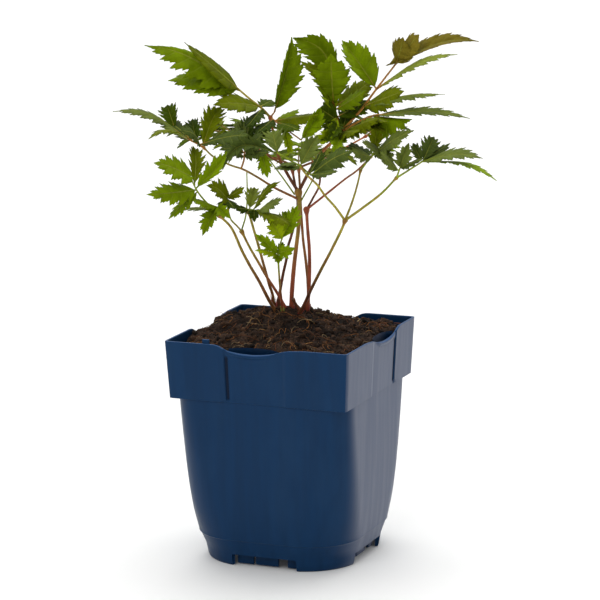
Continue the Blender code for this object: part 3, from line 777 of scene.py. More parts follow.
def cylinder(place: Place, radius: float, depth: float, sides: int, quarter: int = 0) -> Shell:
    """Makes an upright cylinder, turned to one of the pot's sides.

    Args:
        place: Its middle.
        radius: Its radius.
        depth: Its height.
        sides: Points round it.
        quarter: The side that it is turned to.

    Returns:
        The cylinder.
    """
    bm = bmesh.new()
    where = quarter_turn(quarter).to_4x4() @ Matrix.Translation(Vector(place) * MM)
    size = {"radius1": radius * MM, "radius2": radius * MM, "depth": depth * MM}
    bmesh.ops.create_cone(bm, cap_ends=True, segments=sides, matrix=where, **size)
    return bm


def cut_away(bm: Shell, cutters: Iterable[Shell]) -> Shell:
    """Cuts closed shells out of a closed shell with one Boolean.

    Args:
        bm: The shell to cut, freed here.
        cutters: What is cut out, freed here.

    Returns:
        The cut shell.
    """
    scene = bpy.context.scene.collection
    helpers = bpy.data.collections.new("cutters")
    scene.children.link(helpers)
    target = None
    for number, shell in enumerate([bm, *cutters]):
        mesh = bpy.data.meshes.new("passing")
        shell.to_mesh(mesh)
        shell.free()
        made = bpy.data.objects.new(f"passing_{number}", mesh)
        (helpers.objects if number else scene.objects).link(made)
        target = target or made
    modifier = target.modifiers.new("cut", "BOOLEAN")
    modifier.operation = "DIFFERENCE"
    modifier.operand_type = "COLLECTION"
    modifier.collection = helpers
    modifier.solver = "MANIFOLD"
    bpy.context.view_layer.update()
    result = bpy.data.meshes.new_from_object(target.evaluated_get(bpy.context.evaluated_depsgraph_get()))
    cut = bmesh.new()
    cut.from_mesh(result)
    for made in [target, *helpers.objects]:
        bpy.data.objects.remove(made)
    bpy.data.collections.remove(helpers)
    return cut


# Pot


@dataclass
class Pot:
    """The square pot: rounded body, deep collar with finger notches, foot ring and drains."""

    height: float = 106.0
    rim_half: float = 45.0
    rim_corner: float = 1.6
    collar_foot: float = 79.0
    collar_foot_half: float = 43.6
    wall: float = 1.1
    floor_under: float = 7.0
    foot_wall: float = 1.3
    foot_ease: float = 0.3
    edge_ease: float = 0.35
    eased_above: float = 16.0
    bead: Place = (12.8, 13.2, 0.22)
    column_step: float = 1.5
    panel_half: float = 15.4
    panel_depth: float = 0.5
    panel_ease: float = 2.4
    groove_width: float = 1.8
    groove_depth: float = 0.5
    groove_ends: tuple[float, float] = (79.9, 101.4)
    corner_place: tuple[float, float] = (-18.4, 82.0)
    corner_radius: float = 3.0
    lip_bulge: float = 1.0
    lip_height: float = 2.0
    lip_middle: float = -2.0
    lip_half: float = 12.0
    rim_line: Rows = (
        (-46.0, 106.0), (-19.6, 106.0), (-17.0, 105.0), (-14.3, 103.5), (-8.0, 102.6), (-1.0, 102.4),
        (5.0, 102.9), (9.0, 103.6), (12.0, 104.5), (16.0, 105.4), (24.0, 106.0), (54.0, 106.0),
    )
    side_shift: float = 4.0
    pocket_half: float = 12.2
    pocket_back: float = 3.3
    pocket_top: float = 104.8
    pocket_foot: float = 95.0
    pocket_wall: float = 0.8
    # Heights, half widths and corner radii of the body
    body: Rows = (
        (0.0, 36.6, 25.6), (1.2, 37.0, 26.0), (6.5, 37.6, 25.4), (12.6, 39.2, 24.0), (13.3, 39.6, 24.0),
        (23.7, 41.0, 22.0), (36.0, 41.9, 20.0), (48.0, 42.3, 17.7), (63.0, 42.6, 15.0), (79.0, 42.8, 12.0),
    )
    # Rows of the shell: heights outside and inside the body, shares of the way up the collar's faces,
    # and ways down from the rim, which near the rim's edge go with ways in from the outer face
    levels: tuple[float, ...] = (
        1.2, 3.0, 5.0, 6.5, 8.5, 10.5, 12.0, 12.6, 12.95, 13.4, 15.0, 17.5, 20.5, 23.7, 27.0, 31.0, 36.0,
        42.0, 48.0, 55.0, 63.0, 71.0, 79.0,
    )
    inner_levels: tuple[float, ...] = (80.1, 71.0, 55.0, 36.0, 23.7, 14.0, 8.2)
    rises: tuple[float, ...] = (
        0.005, 0.02, 0.05, 0.08, 0.11, 0.15, 0.25, 0.4, 0.55, 0.7, 0.8, 0.88, 0.94, 1.0,
    )
    inner_rises: tuple[float, ...] = (0.75, 0.4, 0.06)
    drops_from: float = 3.0
    drops: tuple[float, ...] = (2.6, 2.3, 2.1, 1.9, 1.6, 1.3, 1.0, 0.7, 0.45, 0.3)
    inner_drops: tuple[float, ...] = (1.2, 2.6, 5.0)
    edge_rows: Rows = ((0.1, 0.1), (0.0, 0.3), (0.0, 0.8), (0.1, 1.0), (0.3, 1.1))
    # Foot openings, drains, ribs, the pad under the floor and the tab on the front rim
    opening: tuple[Place, Place] = ((-16.0, -46.0, -4.0), (16.0, -34.9, 5.6))
    drain_place: Place = (19.0, -19.0, 7.6)
    drain_radius: float = 4.0
    ribs: Rows = ((-14.5, -6.5), (-5.5, 5.8), (10.4, 15.4))
    rib_wall: float = 1.4
    rib_inset: float = 3.0
    pad_radius: float = 7.0
    pad_depth: float = 7.4
    tab: tuple[Place, Place] = ((-26.3, -43.75, 96.0), (-22.9, -42.6, 107.8))

    def shift(self, quarter: int) -> float:
        """Says how far a side's notch and panel stand off its middle: both side walls' to the back."""
        return self.side_shift * (-1) ** (quarter // 2) if quarter % 2 else 0.0

    def half_length(self) -> float:
        """Gives the way from a side's middle to its corner, round the rim."""
        return self.rim_half - self.rim_corner + self.rim_corner * math.pi / 4

    def columns(self) -> list[tuple[int, float]]:
        """Gives the columns round the pot, closer together at the panels' edges.

        Returns:
            For each column its side and its share of the side's half length.
        """
        whole = self.half_length()
        found = []
        for quarter in range(4):
            middle = self.shift(quarter)
            steps = int(whole / self.column_step)
            places = {round(k * whole / steps, 3) for k in range(-steps, steps)}
            for hand in (-1, 1):
                edge = middle + hand * self.panel_half
                fine = {round(edge + hand * 0.3 * k, 3) for k in range(-9, 11)}
                places = {p for p in places if not abs(p - edge - hand * 0.15) < 3.2} | fine
            found += [(quarter, place / whole) for place in sorted(places)]
        return found

    def spot(self, half: float, radius: float, share: float) -> tuple[Vector, Vector]:
        """Gives a place on the front side of a square ring with round corners.

        Args:
            half: The ring's half width.
            radius: Its corners' radius.
            share: Place along the side, from -1 to 1.

        Returns:
            The place and the outward direction there, both flat.
        """
        radius = max(radius, 0.05)
        straight = half - radius
        run = abs(share) * (straight + radius * math.pi / 4)
        hand = 1.0 if share >= 0 else -1.0
        if run <= straight:
            return Vector((hand * run, -half, 0.0)), Vector((0.0, -1.0, 0.0))
        angle = (run - straight) / radius
        out = Vector((hand * math.sin(angle), -math.cos(angle), 0.0))
        return Vector((hand * straight, -straight, 0.0)) + out * radius, out

    def body_size(self, height: float) -> tuple[float, float]:
        """Gives the body's half width and corner radius at a height, eased above the foot ring."""
        if height < self.eased_above:
            half, radius = along_table(self.body, height)
            low, high, out = self.bead
            return (half + (out if low < height < high else 0.0), radius)
        near = [along_table(self.body, height + step) for step in (-2.5, -1.0, 1.0, 2.5)]
        return (sum(row[0] for row in near) / 4, sum(row[1] for row in near) / 4)

    def along_panel(self, quarter: int, place: float) -> float:
        """Gives the way along a side's panel from its middle, with the groove at the low end."""
        away = place - self.shift(quarter)
        return -away if quarter % 2 else away

    def rim_top(self, along: float) -> float:
        """Gives the rim's height by the way along the panel, eased over the notch's bends."""
        return sum(along_table(self.rim_line, along + step)[0] for step in (-1.2, -0.4, 0.4, 1.2)) / 4

    def groove(self, along: float, height: float) -> float:
        """Says how far into the panel's groove a place lies, from 0 beside it to 1 on its floor."""
        left = -self.panel_half
        right = left + self.groove_width
        low, high = self.groove_ends
        across = smooth(along, left, left + 0.4) * (1 - smooth(along, right - 0.4, right))
        return across * smooth(height, low, low + 1.1) * (1 - smooth(height, high - 1.4, high))

    def recess(self, along: float, height: float, top: float) -> float:
        """Gives how far the collar's outer face stands back at a place.

        Args:
            along: The way along the panel from its middle.
            height: Height of the place.
            top: Height of the rim over it.

        Returns:
            The depth, which is below 0 where the lip stands out.
        """
        panel = smooth(along, -self.panel_half - 0.2, -self.panel_half + 0.2)
        panel *= 1 - smooth(along, self.panel_half - self.panel_ease, self.panel_half)
        corner = 0.0
        left, low = self.corner_place
        if left < along < 0.2 - self.panel_half and height < low:
            away = math.hypot(along - left, low - height)
            corner = smooth(away, self.corner_radius - 0.2, self.corner_radius + 0.2) * (1 - panel)
        crescent = math.sqrt(max(0.0, 1 - ((along - self.lip_middle) / self.lip_half) ** 2))
        tall = max(self.lip_height * min(1.0, crescent * 1.3), 0.1)
        lip = (height - (top - tall / 2)) / (tall / 2)
        bulge = math.sqrt(max(0.0, 1 - lip * lip)) * crescent
        sunk = self.panel_depth * max(panel, corner) + self.groove_depth * self.groove(along, height)
        return sunk - self.lip_bulge * bulge

    def collar_spot(
        self, quarter: int, share: float, rise: float, below: float | None, inset: float
    ) -> Vector:
        """Gives a place on the collar's wall.

        Args:
            quarter: The side.
            share: Place along the side, from -1 to 1.
            rise: Share of the way up to the rows under the rim.
            below: Distance under the rim instead, for the rows near it.
            inset: How far in from the outer face.

        Returns:
            The place on the front side, before it is turned.
        """
        along = self.along_panel(quarter, share * self.half_length())
        top = self.rim_top(along)
        if below is None:
            height = self.collar_foot + rise * (top - self.drops_from - self.collar_foot)
        else:
            height = top - below
        climb = (height - self.collar_foot) / (self.height - self.collar_foot)
        half = self.collar_foot_half + (self.rim_half - self.collar_foot_half) * climb - inset
        place, out = self.spot(half, self.rim_corner - inset / 2, share)
        if inset < self.wall:
            back = self.recess(along, height, top) * (1 - inset / self.wall)
            place -= out * back
        return place + Vector((0.0, 0.0, height))

    def shell(self) -> Shell:
        """Makes the pot's one closed shell, from the floor's underside round to its top.

        Returns:
            The shell, without openings.
        """
        rows: list[Callable[[int, float], Vector]] = []

        def ring(height: float, half: float, radius: float, scale: float = 1.0) -> None:
            """Adds a row round a plain ring."""
            rows.append(lambda q, s: self.spot(half, radius, s)[0] * scale + Vector((0.0, 0.0, height)))

        def collar(rise: float, below: float | None, inset: float) -> None:
            """Adds a row round the collar."""
            rows.append(lambda q, s: self.collar_spot(q, s, rise, below, inset))

        foot_half, foot_radius = self.body[0][1:]
        inner = (foot_half - self.foot_wall, foot_radius - self.foot_wall)
        for scale in (0.0, 0.35, 0.7, 1.0):
            ring(self.floor_under, *inner, scale)
        ring(self.foot_ease, *inner)
        ring(0.0, *(measure + self.foot_ease for measure in inner))
        ring(0.0, foot_half - self.edge_ease, foot_radius - self.edge_ease)
        ring(self.edge_ease, foot_half, foot_radius)
        for height in self.levels:
            ring(height, *self.body_size(height))
        collar(0.0, None, self.edge_ease)
        first = len(rows)
        for rise in self.rises:
            collar(rise, None, 0.0)
        for below in self.drops:
            collar(0.0, below, 0.0)
        last = len(rows)
        for below, inset in self.edge_rows:
            collar(0.0, below, inset)
        for below in self.inner_drops:
            collar(0.0, below, self.wall)
        for rise in self.inner_rises:
            collar(rise, None, self.wall)
        for height in self.inner_levels:
            half, radius = self.body_size(min(height, self.collar_foot))
            ring(height, half - self.wall, radius - self.wall)
        for scale in (0.7, 0.35, 0.0):
            ring(self.inner_levels[-1], half - self.wall, radius - self.wall, scale)
        columns = self.columns()
        turns = [quarter_turn(quarter) for quarter in range(4)]

        def place(i: int, j: int) -> Vector:
            """Puts one point of the shell."""
            quarter, share = columns[i % len(columns)]
            return turns[quarter] @ rows[j](quarter, share)

        bm = gridded(len(columns), len(rows) - 1, place)
        # Each collar point's share of a groove, which the plastic darkens as painted shade
        sunk = bm.verts.layers.float.new("sunk")
        column, row = (bm.verts.layers.int[name] for name in ("column", "row"))
        for vert in bm.verts:
            if first <= vert[row] < last:
                quarter, share = columns[vert[column] % len(columns)]
                along = self.along_panel(quarter, share * self.half_length())
                vert[sunk] = self.groove(along, vert.co.z / MM)
        weld(bm)
        return bm

    def setback(self, away: float) -> float:
        """Gives how far the pocket's wall stands behind the collar's inner face."""
        return self.pocket_back * (1 - min(abs(away) / self.pocket_half, 1.0) ** 3)

    def pocket(self, quarter: int) -> Shell:
        """Makes the curved wall behind a notch.

        Args:
            quarter: The side.

        Returns:
            The wall.
        """
        middle = self.shift(quarter) + self.lip_middle * (-1 if quarter % 2 else 1) / 2
        face = self.rim_half - self.wall - 0.25
        turn = quarter_turn(quarter)
        columns, rows = 28, 8

        def place(i: int, j: int) -> Vector:
            """Puts one point of the wall."""
            away = self.pocket_half * (2 * i / columns - 1)
            top = self.pocket_top - 0.3 * (away / self.pocket_half) ** 2
            height = self.pocket_foot + (top - self.pocket_foot) * j / rows
            return turn @ Vector((middle + away, -face + self.setback(away), height))

        bm = gridded(columns, rows, place)
        thicken(bm, self.pocket_wall)
        return bm

    def build(self) -> Thing:
        """Makes the pot and puts it in place of the plain one.

        Returns:
            The pot.
        """
        cutters = []
        for quarter in range(4):
            cutters.append(block(*self.opening, 0.7, quarter))
            cutters.append(cylinder(self.drain_place, self.drain_radius, 5.0, 40, quarter))
        piece = Piece("nursery_pot", "pot", ("pot",), [PotPlastic().build()])
        piece.add(cut_away(self.shell(), cutters))
        inner = self.body[0][1] - self.rib_inset
        for quarter in range(4):
            for left, right in self.ribs:
                high = (right, self.rib_wall - inner, self.floor_under + 0.4)
                piece.add(block((left, -inner, 0.6), high, 0.25, quarter))
            piece.add(self.pocket(quarter))
        piece.add(block(*self.tab, 0.3))
        pad = cylinder((0.0, 0.0, self.pad_depth / 2), self.pad_radius, self.pad_depth, 64)
        rims = [edge for edge in pad.edges if len(edge.link_faces) == 2 and edge.calc_face_angle() > 1.0]
        soften_edges(pad, rims, 0.4)
        piece.add(pad)
        return piece.finish(sharp=38.0)


# Soil


@dataclass
class Soil:
    """Peat with its mound, crumbs, clods and fibres."""

    pot: Pot
    edge: float = 102.6
    mound_top: float = 9.4
    mound_radius: float = 26.0
    mound_place: tuple[float, float] = (-1.0, -14.0)
    # Height, radius and place of each heap or hollow
    heaps: Rows = (
        (3.8, 20.0, -39.0, 1.0), (1.6, 24.0, 36.0, 20.0), (1.2, 14.0, 10.0, -36.0),
        (-2.2, 13.0, -26.0, 40.0), (-1.8, 14.0, 2.0, 40.0),
    )
    # Height of each ripple, its radians per millimetre to the right and to the back, and its phase
    ripples: Rows = (
        (0.5, 0.19, 0.23, 1.0), (0.4, 0.41, -0.37, 0.0), (0.3, -0.12, 0.44, 2.0),
    )
    half: float = 43.35
    hidden: float = 96.5
    plug_levels: tuple[float, ...] = (8.6, 14.0, 24.0, 36.0, 55.0, 78.0, 97.0)
    cells: int = 170
    clods: int = 420
    crumbs: int = 3000
    fibres: int = 330
    clod_sizes: tuple[float, float] = (0.7, 1.7)
    crumb_sizes: tuple[float, float] = (0.2, 0.65)
    fibre_lengths: tuple[float, float] = (2.5, 10.0)
    fibre_radii: tuple[float, float] = (0.06, 0.19)
    seed: int = 17
    # Painted shade: the pits take the first tint and the crests the second
    painted_pit_shade: Colour = srgb(22, 16, 13)
    ridge: Colour = srgb(62, 45, 35)
    filling: Colour = srgb(40, 29, 22)
    clod_dark: Colour = srgb(20, 15, 12)
    clod_pale: Colour = srgb(84, 60, 44)
    fibre_colours: tuple[Colour, ...] = (
        srgb(150, 112, 70), srgb(132, 86, 48), srgb(112, 66, 38), srgb(158, 134, 98), srgb(98, 58, 38),
        srgb(142, 92, 48), srgb(80, 52, 36), srgb(90, 60, 42),
    )

    def height(self, x: float, y: float) -> float:
        """Gives the peat's broad height at a place in the pot's axes."""
        top = crown(*self.mound_place, 0.0)
        mound = self.mound_top * math.exp(-((x - top.x) ** 2 + (y - top.y) ** 2) / self.mound_radius**2)
        heap = 0.0
        for high, radius, a, b in self.heaps:
            heap += high * math.exp(-((x - a) ** 2 + (y - b) ** 2) / radius**2)
        ripple = sum(a * math.sin(b * x + c * y + d) for a, b, c, d in self.ripples)
        rim = 1.6 * (1 - smooth(self.half - max(abs(x), abs(y)), 0.0, 9.0))
        return self.edge + mound + heap + ripple - rim

    def crumble(self, x: float, y: float) -> float:
        """Gives the peat's broad height with its crumbs."""
        spot = Vector((x, y, 4.0))
        lumps = noise.fractal(spot * 0.14, 0.8, 2.1, 5, noise_basis="PERLIN_ORIGINAL") * 1.5
        pits = abs(noise.fractal(spot * 0.42, 0.7, 2.2, 4, noise_basis="PERLIN_ORIGINAL")) * 1.7
        return self.height(x, y) + lumps - pits + 0.3

    def in_pocket(self, x: float, y: float, spare: float = 0.0) -> bool:
        """Tells whether a place lies between a notch and the wall behind it."""
        for quarter in range(4):
            there = quarter_turn(-quarter) @ Vector((x, y, 0.0))
            away = there.x - self.pot.shift(quarter)
            inner = self.pot.rim_half - self.pot.wall + there.y
            if abs(away) < self.pot.pocket_half + spare and inner < self.pot.setback(away) + 0.7 + spare:
                return True
        return False

    def surface(self) -> Shell:
        """Makes the peat's crumbled surface."""
        count = self.cells

        def place(i: int, j: int) -> Vector:
            """Puts one point of the surface."""
            x = self.half * (2 * i / count - 1)
            y = self.half * (2 * j / count - 1)
            sunk = i in (0, count) or j in (0, count) or self.in_pocket(x, y)
            return Vector((x, y, self.hidden if sunk else self.crumble(x, y)))

        def colour(vert: Vert) -> Colour:
            """Gives a point's tint: darker in the pits, as painted shade."""
            x, y, z = vert.co / MM
            return between(self.painted_pit_shade, self.ridge, smooth(z - self.height(x, y), -1.6, 1.4))

        bm = gridded(count, count, place)
        set_tint(bm, colour)
        return bm

    def plug(self) -> Shell:
        """Makes the peat that fills the pot below the surface."""
        foot, top = self.plug_levels[0], self.plug_levels[-1]
        rows = [(foot, 0.0), (foot, 0.5), *((level, 1.0) for level in self.plug_levels)]
        rows += [(top, 0.5), (top, 0.0)]
        inset = self.pot.wall + GAP
        steps = 24

        def place(i: int, j: int) -> Vector:
            """Puts one point of the plug."""
            height, scale = rows[j]
            half, radius = self.pot.body_size(min(height, self.pot.collar_foot))
            quarter, step = divmod(i % (4 * steps), steps)
            spot = self.pot.spot(half - inset, radius - inset, 2 * step / steps - 1)[0] * scale
            return quarter_turn(quarter) @ (spot + Vector((0.0, 0.0, height)))

        bm = gridded(4 * steps, len(rows) - 1, place)
        weld(bm)
        set_tint(bm, self.filling)
        return bm

    def lump(self, rng: random.Random, size: float, fine: int) -> Shell:
        """Makes one clod or crumb on the surface.

        Args:
            rng: The seeded source of chance.
            size: Its radius.
            fine: How finely it is divided.

        Returns:
            The clod.
        """
        while True:
            x, y = (rng.uniform(-self.half + size, self.half - size) for _ in range(2))
            if not self.in_pocket(x, y, 0.6 + size):
                break
        bm = bmesh.new()
        bmesh.ops.create_icosphere(bm, subdivisions=fine, radius=1.0)
        shift = Vector([rng.uniform(-9, 9) for _ in range(3)])
        sizes = ((0.7, 1.4), (0.6, 1.1), (0.5, 0.9))
        stretch = Matrix.Diagonal([rng.uniform(*ends) for ends in sizes]).to_3x3()
        turn = Matrix.Rotation(rng.uniform(0, 6.28), 3, (rng.uniform(-1, 1), rng.uniform(-1, 1), 1.0))
        centre = Vector((x, y, self.crumble(x, y) + size * 0.15))
        for vert in bm.verts:
            rough = 1.0 + 0.45 * noise.noise(vert.co * 1.3 + shift)
            vert.co = (turn @ stretch @ vert.co * size * rough + centre) * MM
        set_tint(bm, between(self.clod_dark, self.clod_pale, rng.random() ** 1.6))
        return bm

    def fibre(self, rng: random.Random) -> Shell:
        """Makes one root or straw bit that lies on the surface."""
        heading = rng.uniform(0, 2 * math.pi)
        spread = self.half - 3
        spot = Vector((rng.uniform(-spread, spread), rng.uniform(-spread, spread), 0.0))
        length = rng.uniform(*self.fibre_lengths) * (1.7 if rng.random() < 0.25 else 1.0)
        bend = rng.uniform(-0.5, 0.5)
        lift = rng.uniform(0.0, 1.6)
        path = []
        steps = 7
        for k in range(steps + 1):
            share = k / steps
            spot = spot + Vector((math.cos(heading), math.sin(heading), 0.0)) * (length / steps)
            heading += bend * rng.uniform(0.2, 1.2)
            x, y = (min(max(value, -self.half + 0.5), self.half - 0.5) for value in spot[:2])
            if self.in_pocket(x, y, 0.8):
                break
            high = self.height(x, y) + 0.35 + lift * math.sin(math.pi * share)
            high += rng.uniform(-0.15, 0.15)
            path.append(Vector((x, y, max(high, self.crumble(x, y)))))
        if len(path) < 4:
            return bmesh.new()
        thick = rng.uniform(*self.fibre_radii)
        bm = rod(path, [thick * (1 - 0.6 * k / len(path)) for k in range(len(path))], 5)
        set_tint(bm, rng.choice(self.fibre_colours))
        return bm

    def build(self) -> Thing:
        """Makes the peat and puts it in place of the plain one.

        Returns:
            The peat.
        """
        rng = random.Random(self.seed)
        piece = Piece("peat_bed", "soil", ("soil",), [Peat().build()])
        piece.add(self.plug())
        piece.add(self.surface())
        for _ in range(self.clods):
            piece.add(self.lump(rng, rng.uniform(*self.clod_sizes), 2))
        for _ in range(self.crumbs):
            piece.add(self.lump(rng, rng.uniform(*self.crumb_sizes), 1))
        for _ in range(self.fibres):
            piece.add(self.fibre(rng))
        return piece.finish()


# Stalks and boughs

BARK_RED = srgb(152, 80, 56)
BARK_OLIVE = srgb(156, 144, 52)
BARK_DARK = srgb(98, 58, 38)
BARK_TAN = srgb(176, 106, 52)
BARK_GREEN = srgb(132, 146, 36)
BARK_STRAW = srgb(166, 142, 62)
BARK_BROWN = srgb(138, 92, 52)


@dataclass(frozen=True)
class Stem:
    """A leaf stalk: the places that it runs through from the peat up, its girth at both ends and
    its tints."""

    name: str
    way: tuple[Place, ...]
    girth: tuple[float, float]
    tints: tuple[Colour, Colour] = (BARK_RED, BARK_OLIVE)
    sheath: float = 8.0


@dataclass(frozen=True)
class Bough:
    """A main branch of a compound leaf: the limb that it forks off, the places that it runs
    through, its girth at both ends and its tints."""

    name: str
    start: str
    way: tuple[Place, ...]
    girth: tuple[float, float]
    tints: tuple[Colour, Colour] = (BARK_OLIVE, BARK_TAN)


STEMS = (
    Stem("stalk_left", (
        (-7.8, -14, 112.1), (-10.4, -9.5, 117.3), (-14.8, -0.4, 128.2), (-18.9, 7.4, 137.2),
        (-22.5, 15.1, 146.1), (-26.7, 25.3, 158.1), (-32.1, 33, 165.4),
    ), (1.7, 1.1), (BARK_BROWN, BARK_OLIVE), 5),
    Stem("stalk_left_mid", (
        (-2.7, -11, 112), (-3.6, -9.8, 115.1), (-6.7, -7.2, 121.5), (-11.3, -3.7, 129.7),
        (-14.7, -0.9, 136.5), (-18.9, 2.6, 144.8), (-22.5, 6, 153.1),
    ), (1.5, 1.1), (BARK_RED, BARK_OLIVE), 6),
    Stem("stalk_left_high", (
        (-8.1, -18, 111.6), (-8.8, -13.6, 119.2), (-10.3, -10.3, 124.6), (-11.9, -6, 131.8),
        (-13.4, -2, 138.4), (-15, 2.4, 145.8), (-16.7, 6.9, 153.1), (-18.3, 11.3, 160.1),
        (-19.2, 13.5, 163.7),
    ), (1.5, 1.1), (BARK_BROWN, BARK_OLIVE), 13),
    Stem("stalk_low_shoot", (
        (-4.3, -6.5, 113.9), (-5, 5.2, 124.5), (-5.4, 13.5, 131.9), (-5.8, 28.6, 145.2),
    ), (1.2, 0.8), (BARK_RED, BARK_GREEN), 8),
    Stem("stalk_dark", (
        (-6.2, -22, 113.6), (-5.4, -22.3, 119), (-4.6, -22.6, 123.7), (-3.5, -23, 129),
        (-2.4, -23.3, 133.7), (-1.3, -23.7, 140.8), (0.4, -24.1, 146.3), (3.3, -25, 159.9), (1, -25, 177),
    ), (1.5, 1.1), (BARK_DARK, BARK_DARK), 7),
    Stem("stalk_centre", (
        (-0.1, -15, 110.6), (0.1, -13.5, 118.6), (0.7, -12, 126.8), (1.5, -10.5, 135), (2.7, -8.7, 144.8),
        (3.5, -7.4, 151.4), (4.2, -5.5, 161.8), (3.8, -4, 169.6),
    ), (2.2, 1.7), (BARK_RED, BARK_OLIVE), 9),
    Stem("stalk_back", (
        (8, -25, 112.8), (7.8, -27, 121.1), (7.5, -28.3, 126.2), (6.8, -30, 133.4), (5.8, -32, 141.6),
        (5.2, -34.1, 150.3), (4.9, -35, 156), (4, -35, 176),
    ), (1.5, 1.1), (BARK_BROWN, BARK_BROWN), 6),
    Stem("stalk_right_mid", (
        (6.5, -16, 109.4), (7.9, -12.9, 118.7), (8.3, -10.6, 125.4), (8.6, -7.5, 134.5), (8.5, -4.5, 143.5),
        (7.9, -1.4, 152.4), (7.4, 2, 162.3),
    ), (1.9, 1.4), (BARK_RED, BARK_RED), 9),
    Stem("stalk_right", (
        (3.4, -8, 111.1), (5.8, -4.5, 116.1), (9.4, 1.9, 125.3), (13.6, 8.8, 135), (18.2, 16.1, 145.1),
        (23.2, 24.7, 156.9), (24.7, 28, 161.6),
    ), (1.6, 1.2), (BARK_DARK, BARK_OLIVE), 6),
)

BOUGHS = (
    Bough("bough_left", "stalk_centre", (
        (1.9, -3, 165.4), (-7, 0, 172.2), (-14.7, 4, 177.8), (-21.1, 7, 182), (-27.4, 9, 184.6),
        (-34.6, 12, 188.8), (-39, 14, 193.3),
    ), (1.2, 0.75), (BARK_BROWN, BARK_OLIVE)),
    Bough("bough_upper_left", "stalk_centre", (
        (3.1, -4, 170.5), (-1, -4, 177.6), (-5.5, -5, 186.8), (-7.7, -6, 197.8), (-8.8, -6, 204.1),
    ), (1.6, 1.1), (BARK_DARK, BARK_TAN)),
    Bough("bough_upper_right", "stalk_centre", (
        (5, -3, 171.6), (8.7, -2, 179.2), (14.8, -1, 188.6), (19.9, 0, 193.8), (24, 0, 198.4),
    ), (1.6, 1.3), (BARK_DARK, BARK_TAN)),
    Bough("bough_right_back", "stalk_right_mid", (
        (8.6, 1, 163.6), (18.3, -3, 170), (25.4, -7, 174.9), (31.3, -10, 178.6), (37.6, -13, 184.2),
    ), (1.1, 0.8), (BARK_RED, BARK_BROWN)),
    Bough("bough_right_dark", "stalk_right_mid", (
        (8.6, 1, 163.8), (10.7, -4, 167.1), (13.3, -9, 171.4), (13.5, -14, 176.3), (9, -20, 184),
    ), (1.1, 0.8), (BARK_DARK, BARK_BROWN)),
    Bough("bough_front", "stalk_right", (
        (24.2, 28, 162.1), (20.2, 33, 168.7), (15.6, 39, 175), (12.1, 44, 180.8), (7.6, 50, 186.1),
        (4.6, 52, 190.5),
    ), (1.2, 0.9), (BARK_OLIVE, BARK_OLIVE)),
    Bough("bough_right_up", "stalk_right", (
        (25.4, 27, 162.3), (27.9, 23, 168.7), (30.4, 19, 175.9), (32.1, 16, 182.5),
    ), (1.1, 0.8), (BARK_OLIVE, BARK_OLIVE)),
    Bough("bough_right_low", "stalk_right", (
        (25.4, 28, 162), (32.1, 30, 167.2), (40.9, 32, 174.3), (47.8, 34, 181.8),
    ), (1.3, 0.9), (BARK_OLIVE, BARK_GREEN)),
    Bough("bough_left_small", "stalk_left_mid", (
        (-22.6, 7, 153.5), (-24.5, 14, 157.1), (-27, 22, 161.5), (-28.2, 28, 167),
    ), (0.9, 0.7), (BARK_OLIVE, BARK_GREEN)),
    Bough("bough_back_left", "stalk_back", (
        (4, -35, 176), (-10, -40, 181.5), (-24, -45, 189),
    ), (1.1, 0.8), (BARK_BROWN, BARK_TAN)),
    Bough("bough_back_right", "stalk_back", (
        (4, -35, 176), (20, -40.5, 181.5), (36, -46, 189),
    ), (1.1, 0.8), (BARK_BROWN, BARK_TAN)),
    Bough("bough_dark_left", "stalk_dark", (
        (1, -25, 177), (-7.5, -26, 181.5), (-16, -27, 187),
    ), (1, 0.8), (BARK_DARK, BARK_BROWN)),
)

# Thin shoots off the left middle and the central stalk, and a short stub of an old stalk
SHOOT_WAYS = (
    ((-22.5, 7.0, 154.0), (-20.5, 6.0, 160.8), (-19.8, 5.0, 169.9), (-19.8, 6.0, 180.8)),
    ((4.6, -5.4, 164.6), (10.5, -1.0, 175.8), (14.7, -3.0, 183.6), (20.3, -6.0, 193.8)),
    ((2.0, -6.0, 168.0), (-3.6, -6.0, 176.2), (-9.7, -6.0, 184.7), (-13.4, -4.0, 190.2)),
)
STUB_WAY = ((3.9, -10.0, 112.1), (2.1, -9.0, 115.2), (0.7, -8.0, 118.5))


def through(points: Sequence[Vector], at: float) -> Vector:
    """Reads the soft curve that runs through some points.

    Args:
        points: The points.
        at: Where to read it: a whole number gives the point of that number.

    Returns:
        The place on the curve.
    """
    last = len(points) - 1
    low = min(max(int(at), 0), last - 1)
    t = at - low
    a, b = points[low], points[low + 1]
    before = points[low - 1] if low else a * 2 - b
    after = points[low + 2] if low + 2 <= last else b * 2 - a
    second = before * 2 - a * 5 + b * 4 - after
    third = after - before + (a - b) * 3
    return (a * 2 + (b - before) * t + second * t**2 + third * t**3) / 2


def along_curve(points: Sequence[Vector], step: float) -> list[Vector]:
    """Gives places on the soft curve through some points, about a step apart."""
    found = []
    for k, (a, b) in enumerate(zip(points, points[1:])):
        count = max(2, round((b - a).length / step))
        found += [through(points, k + n / count) for n in range(count)]
    return [*found, points[-1]]


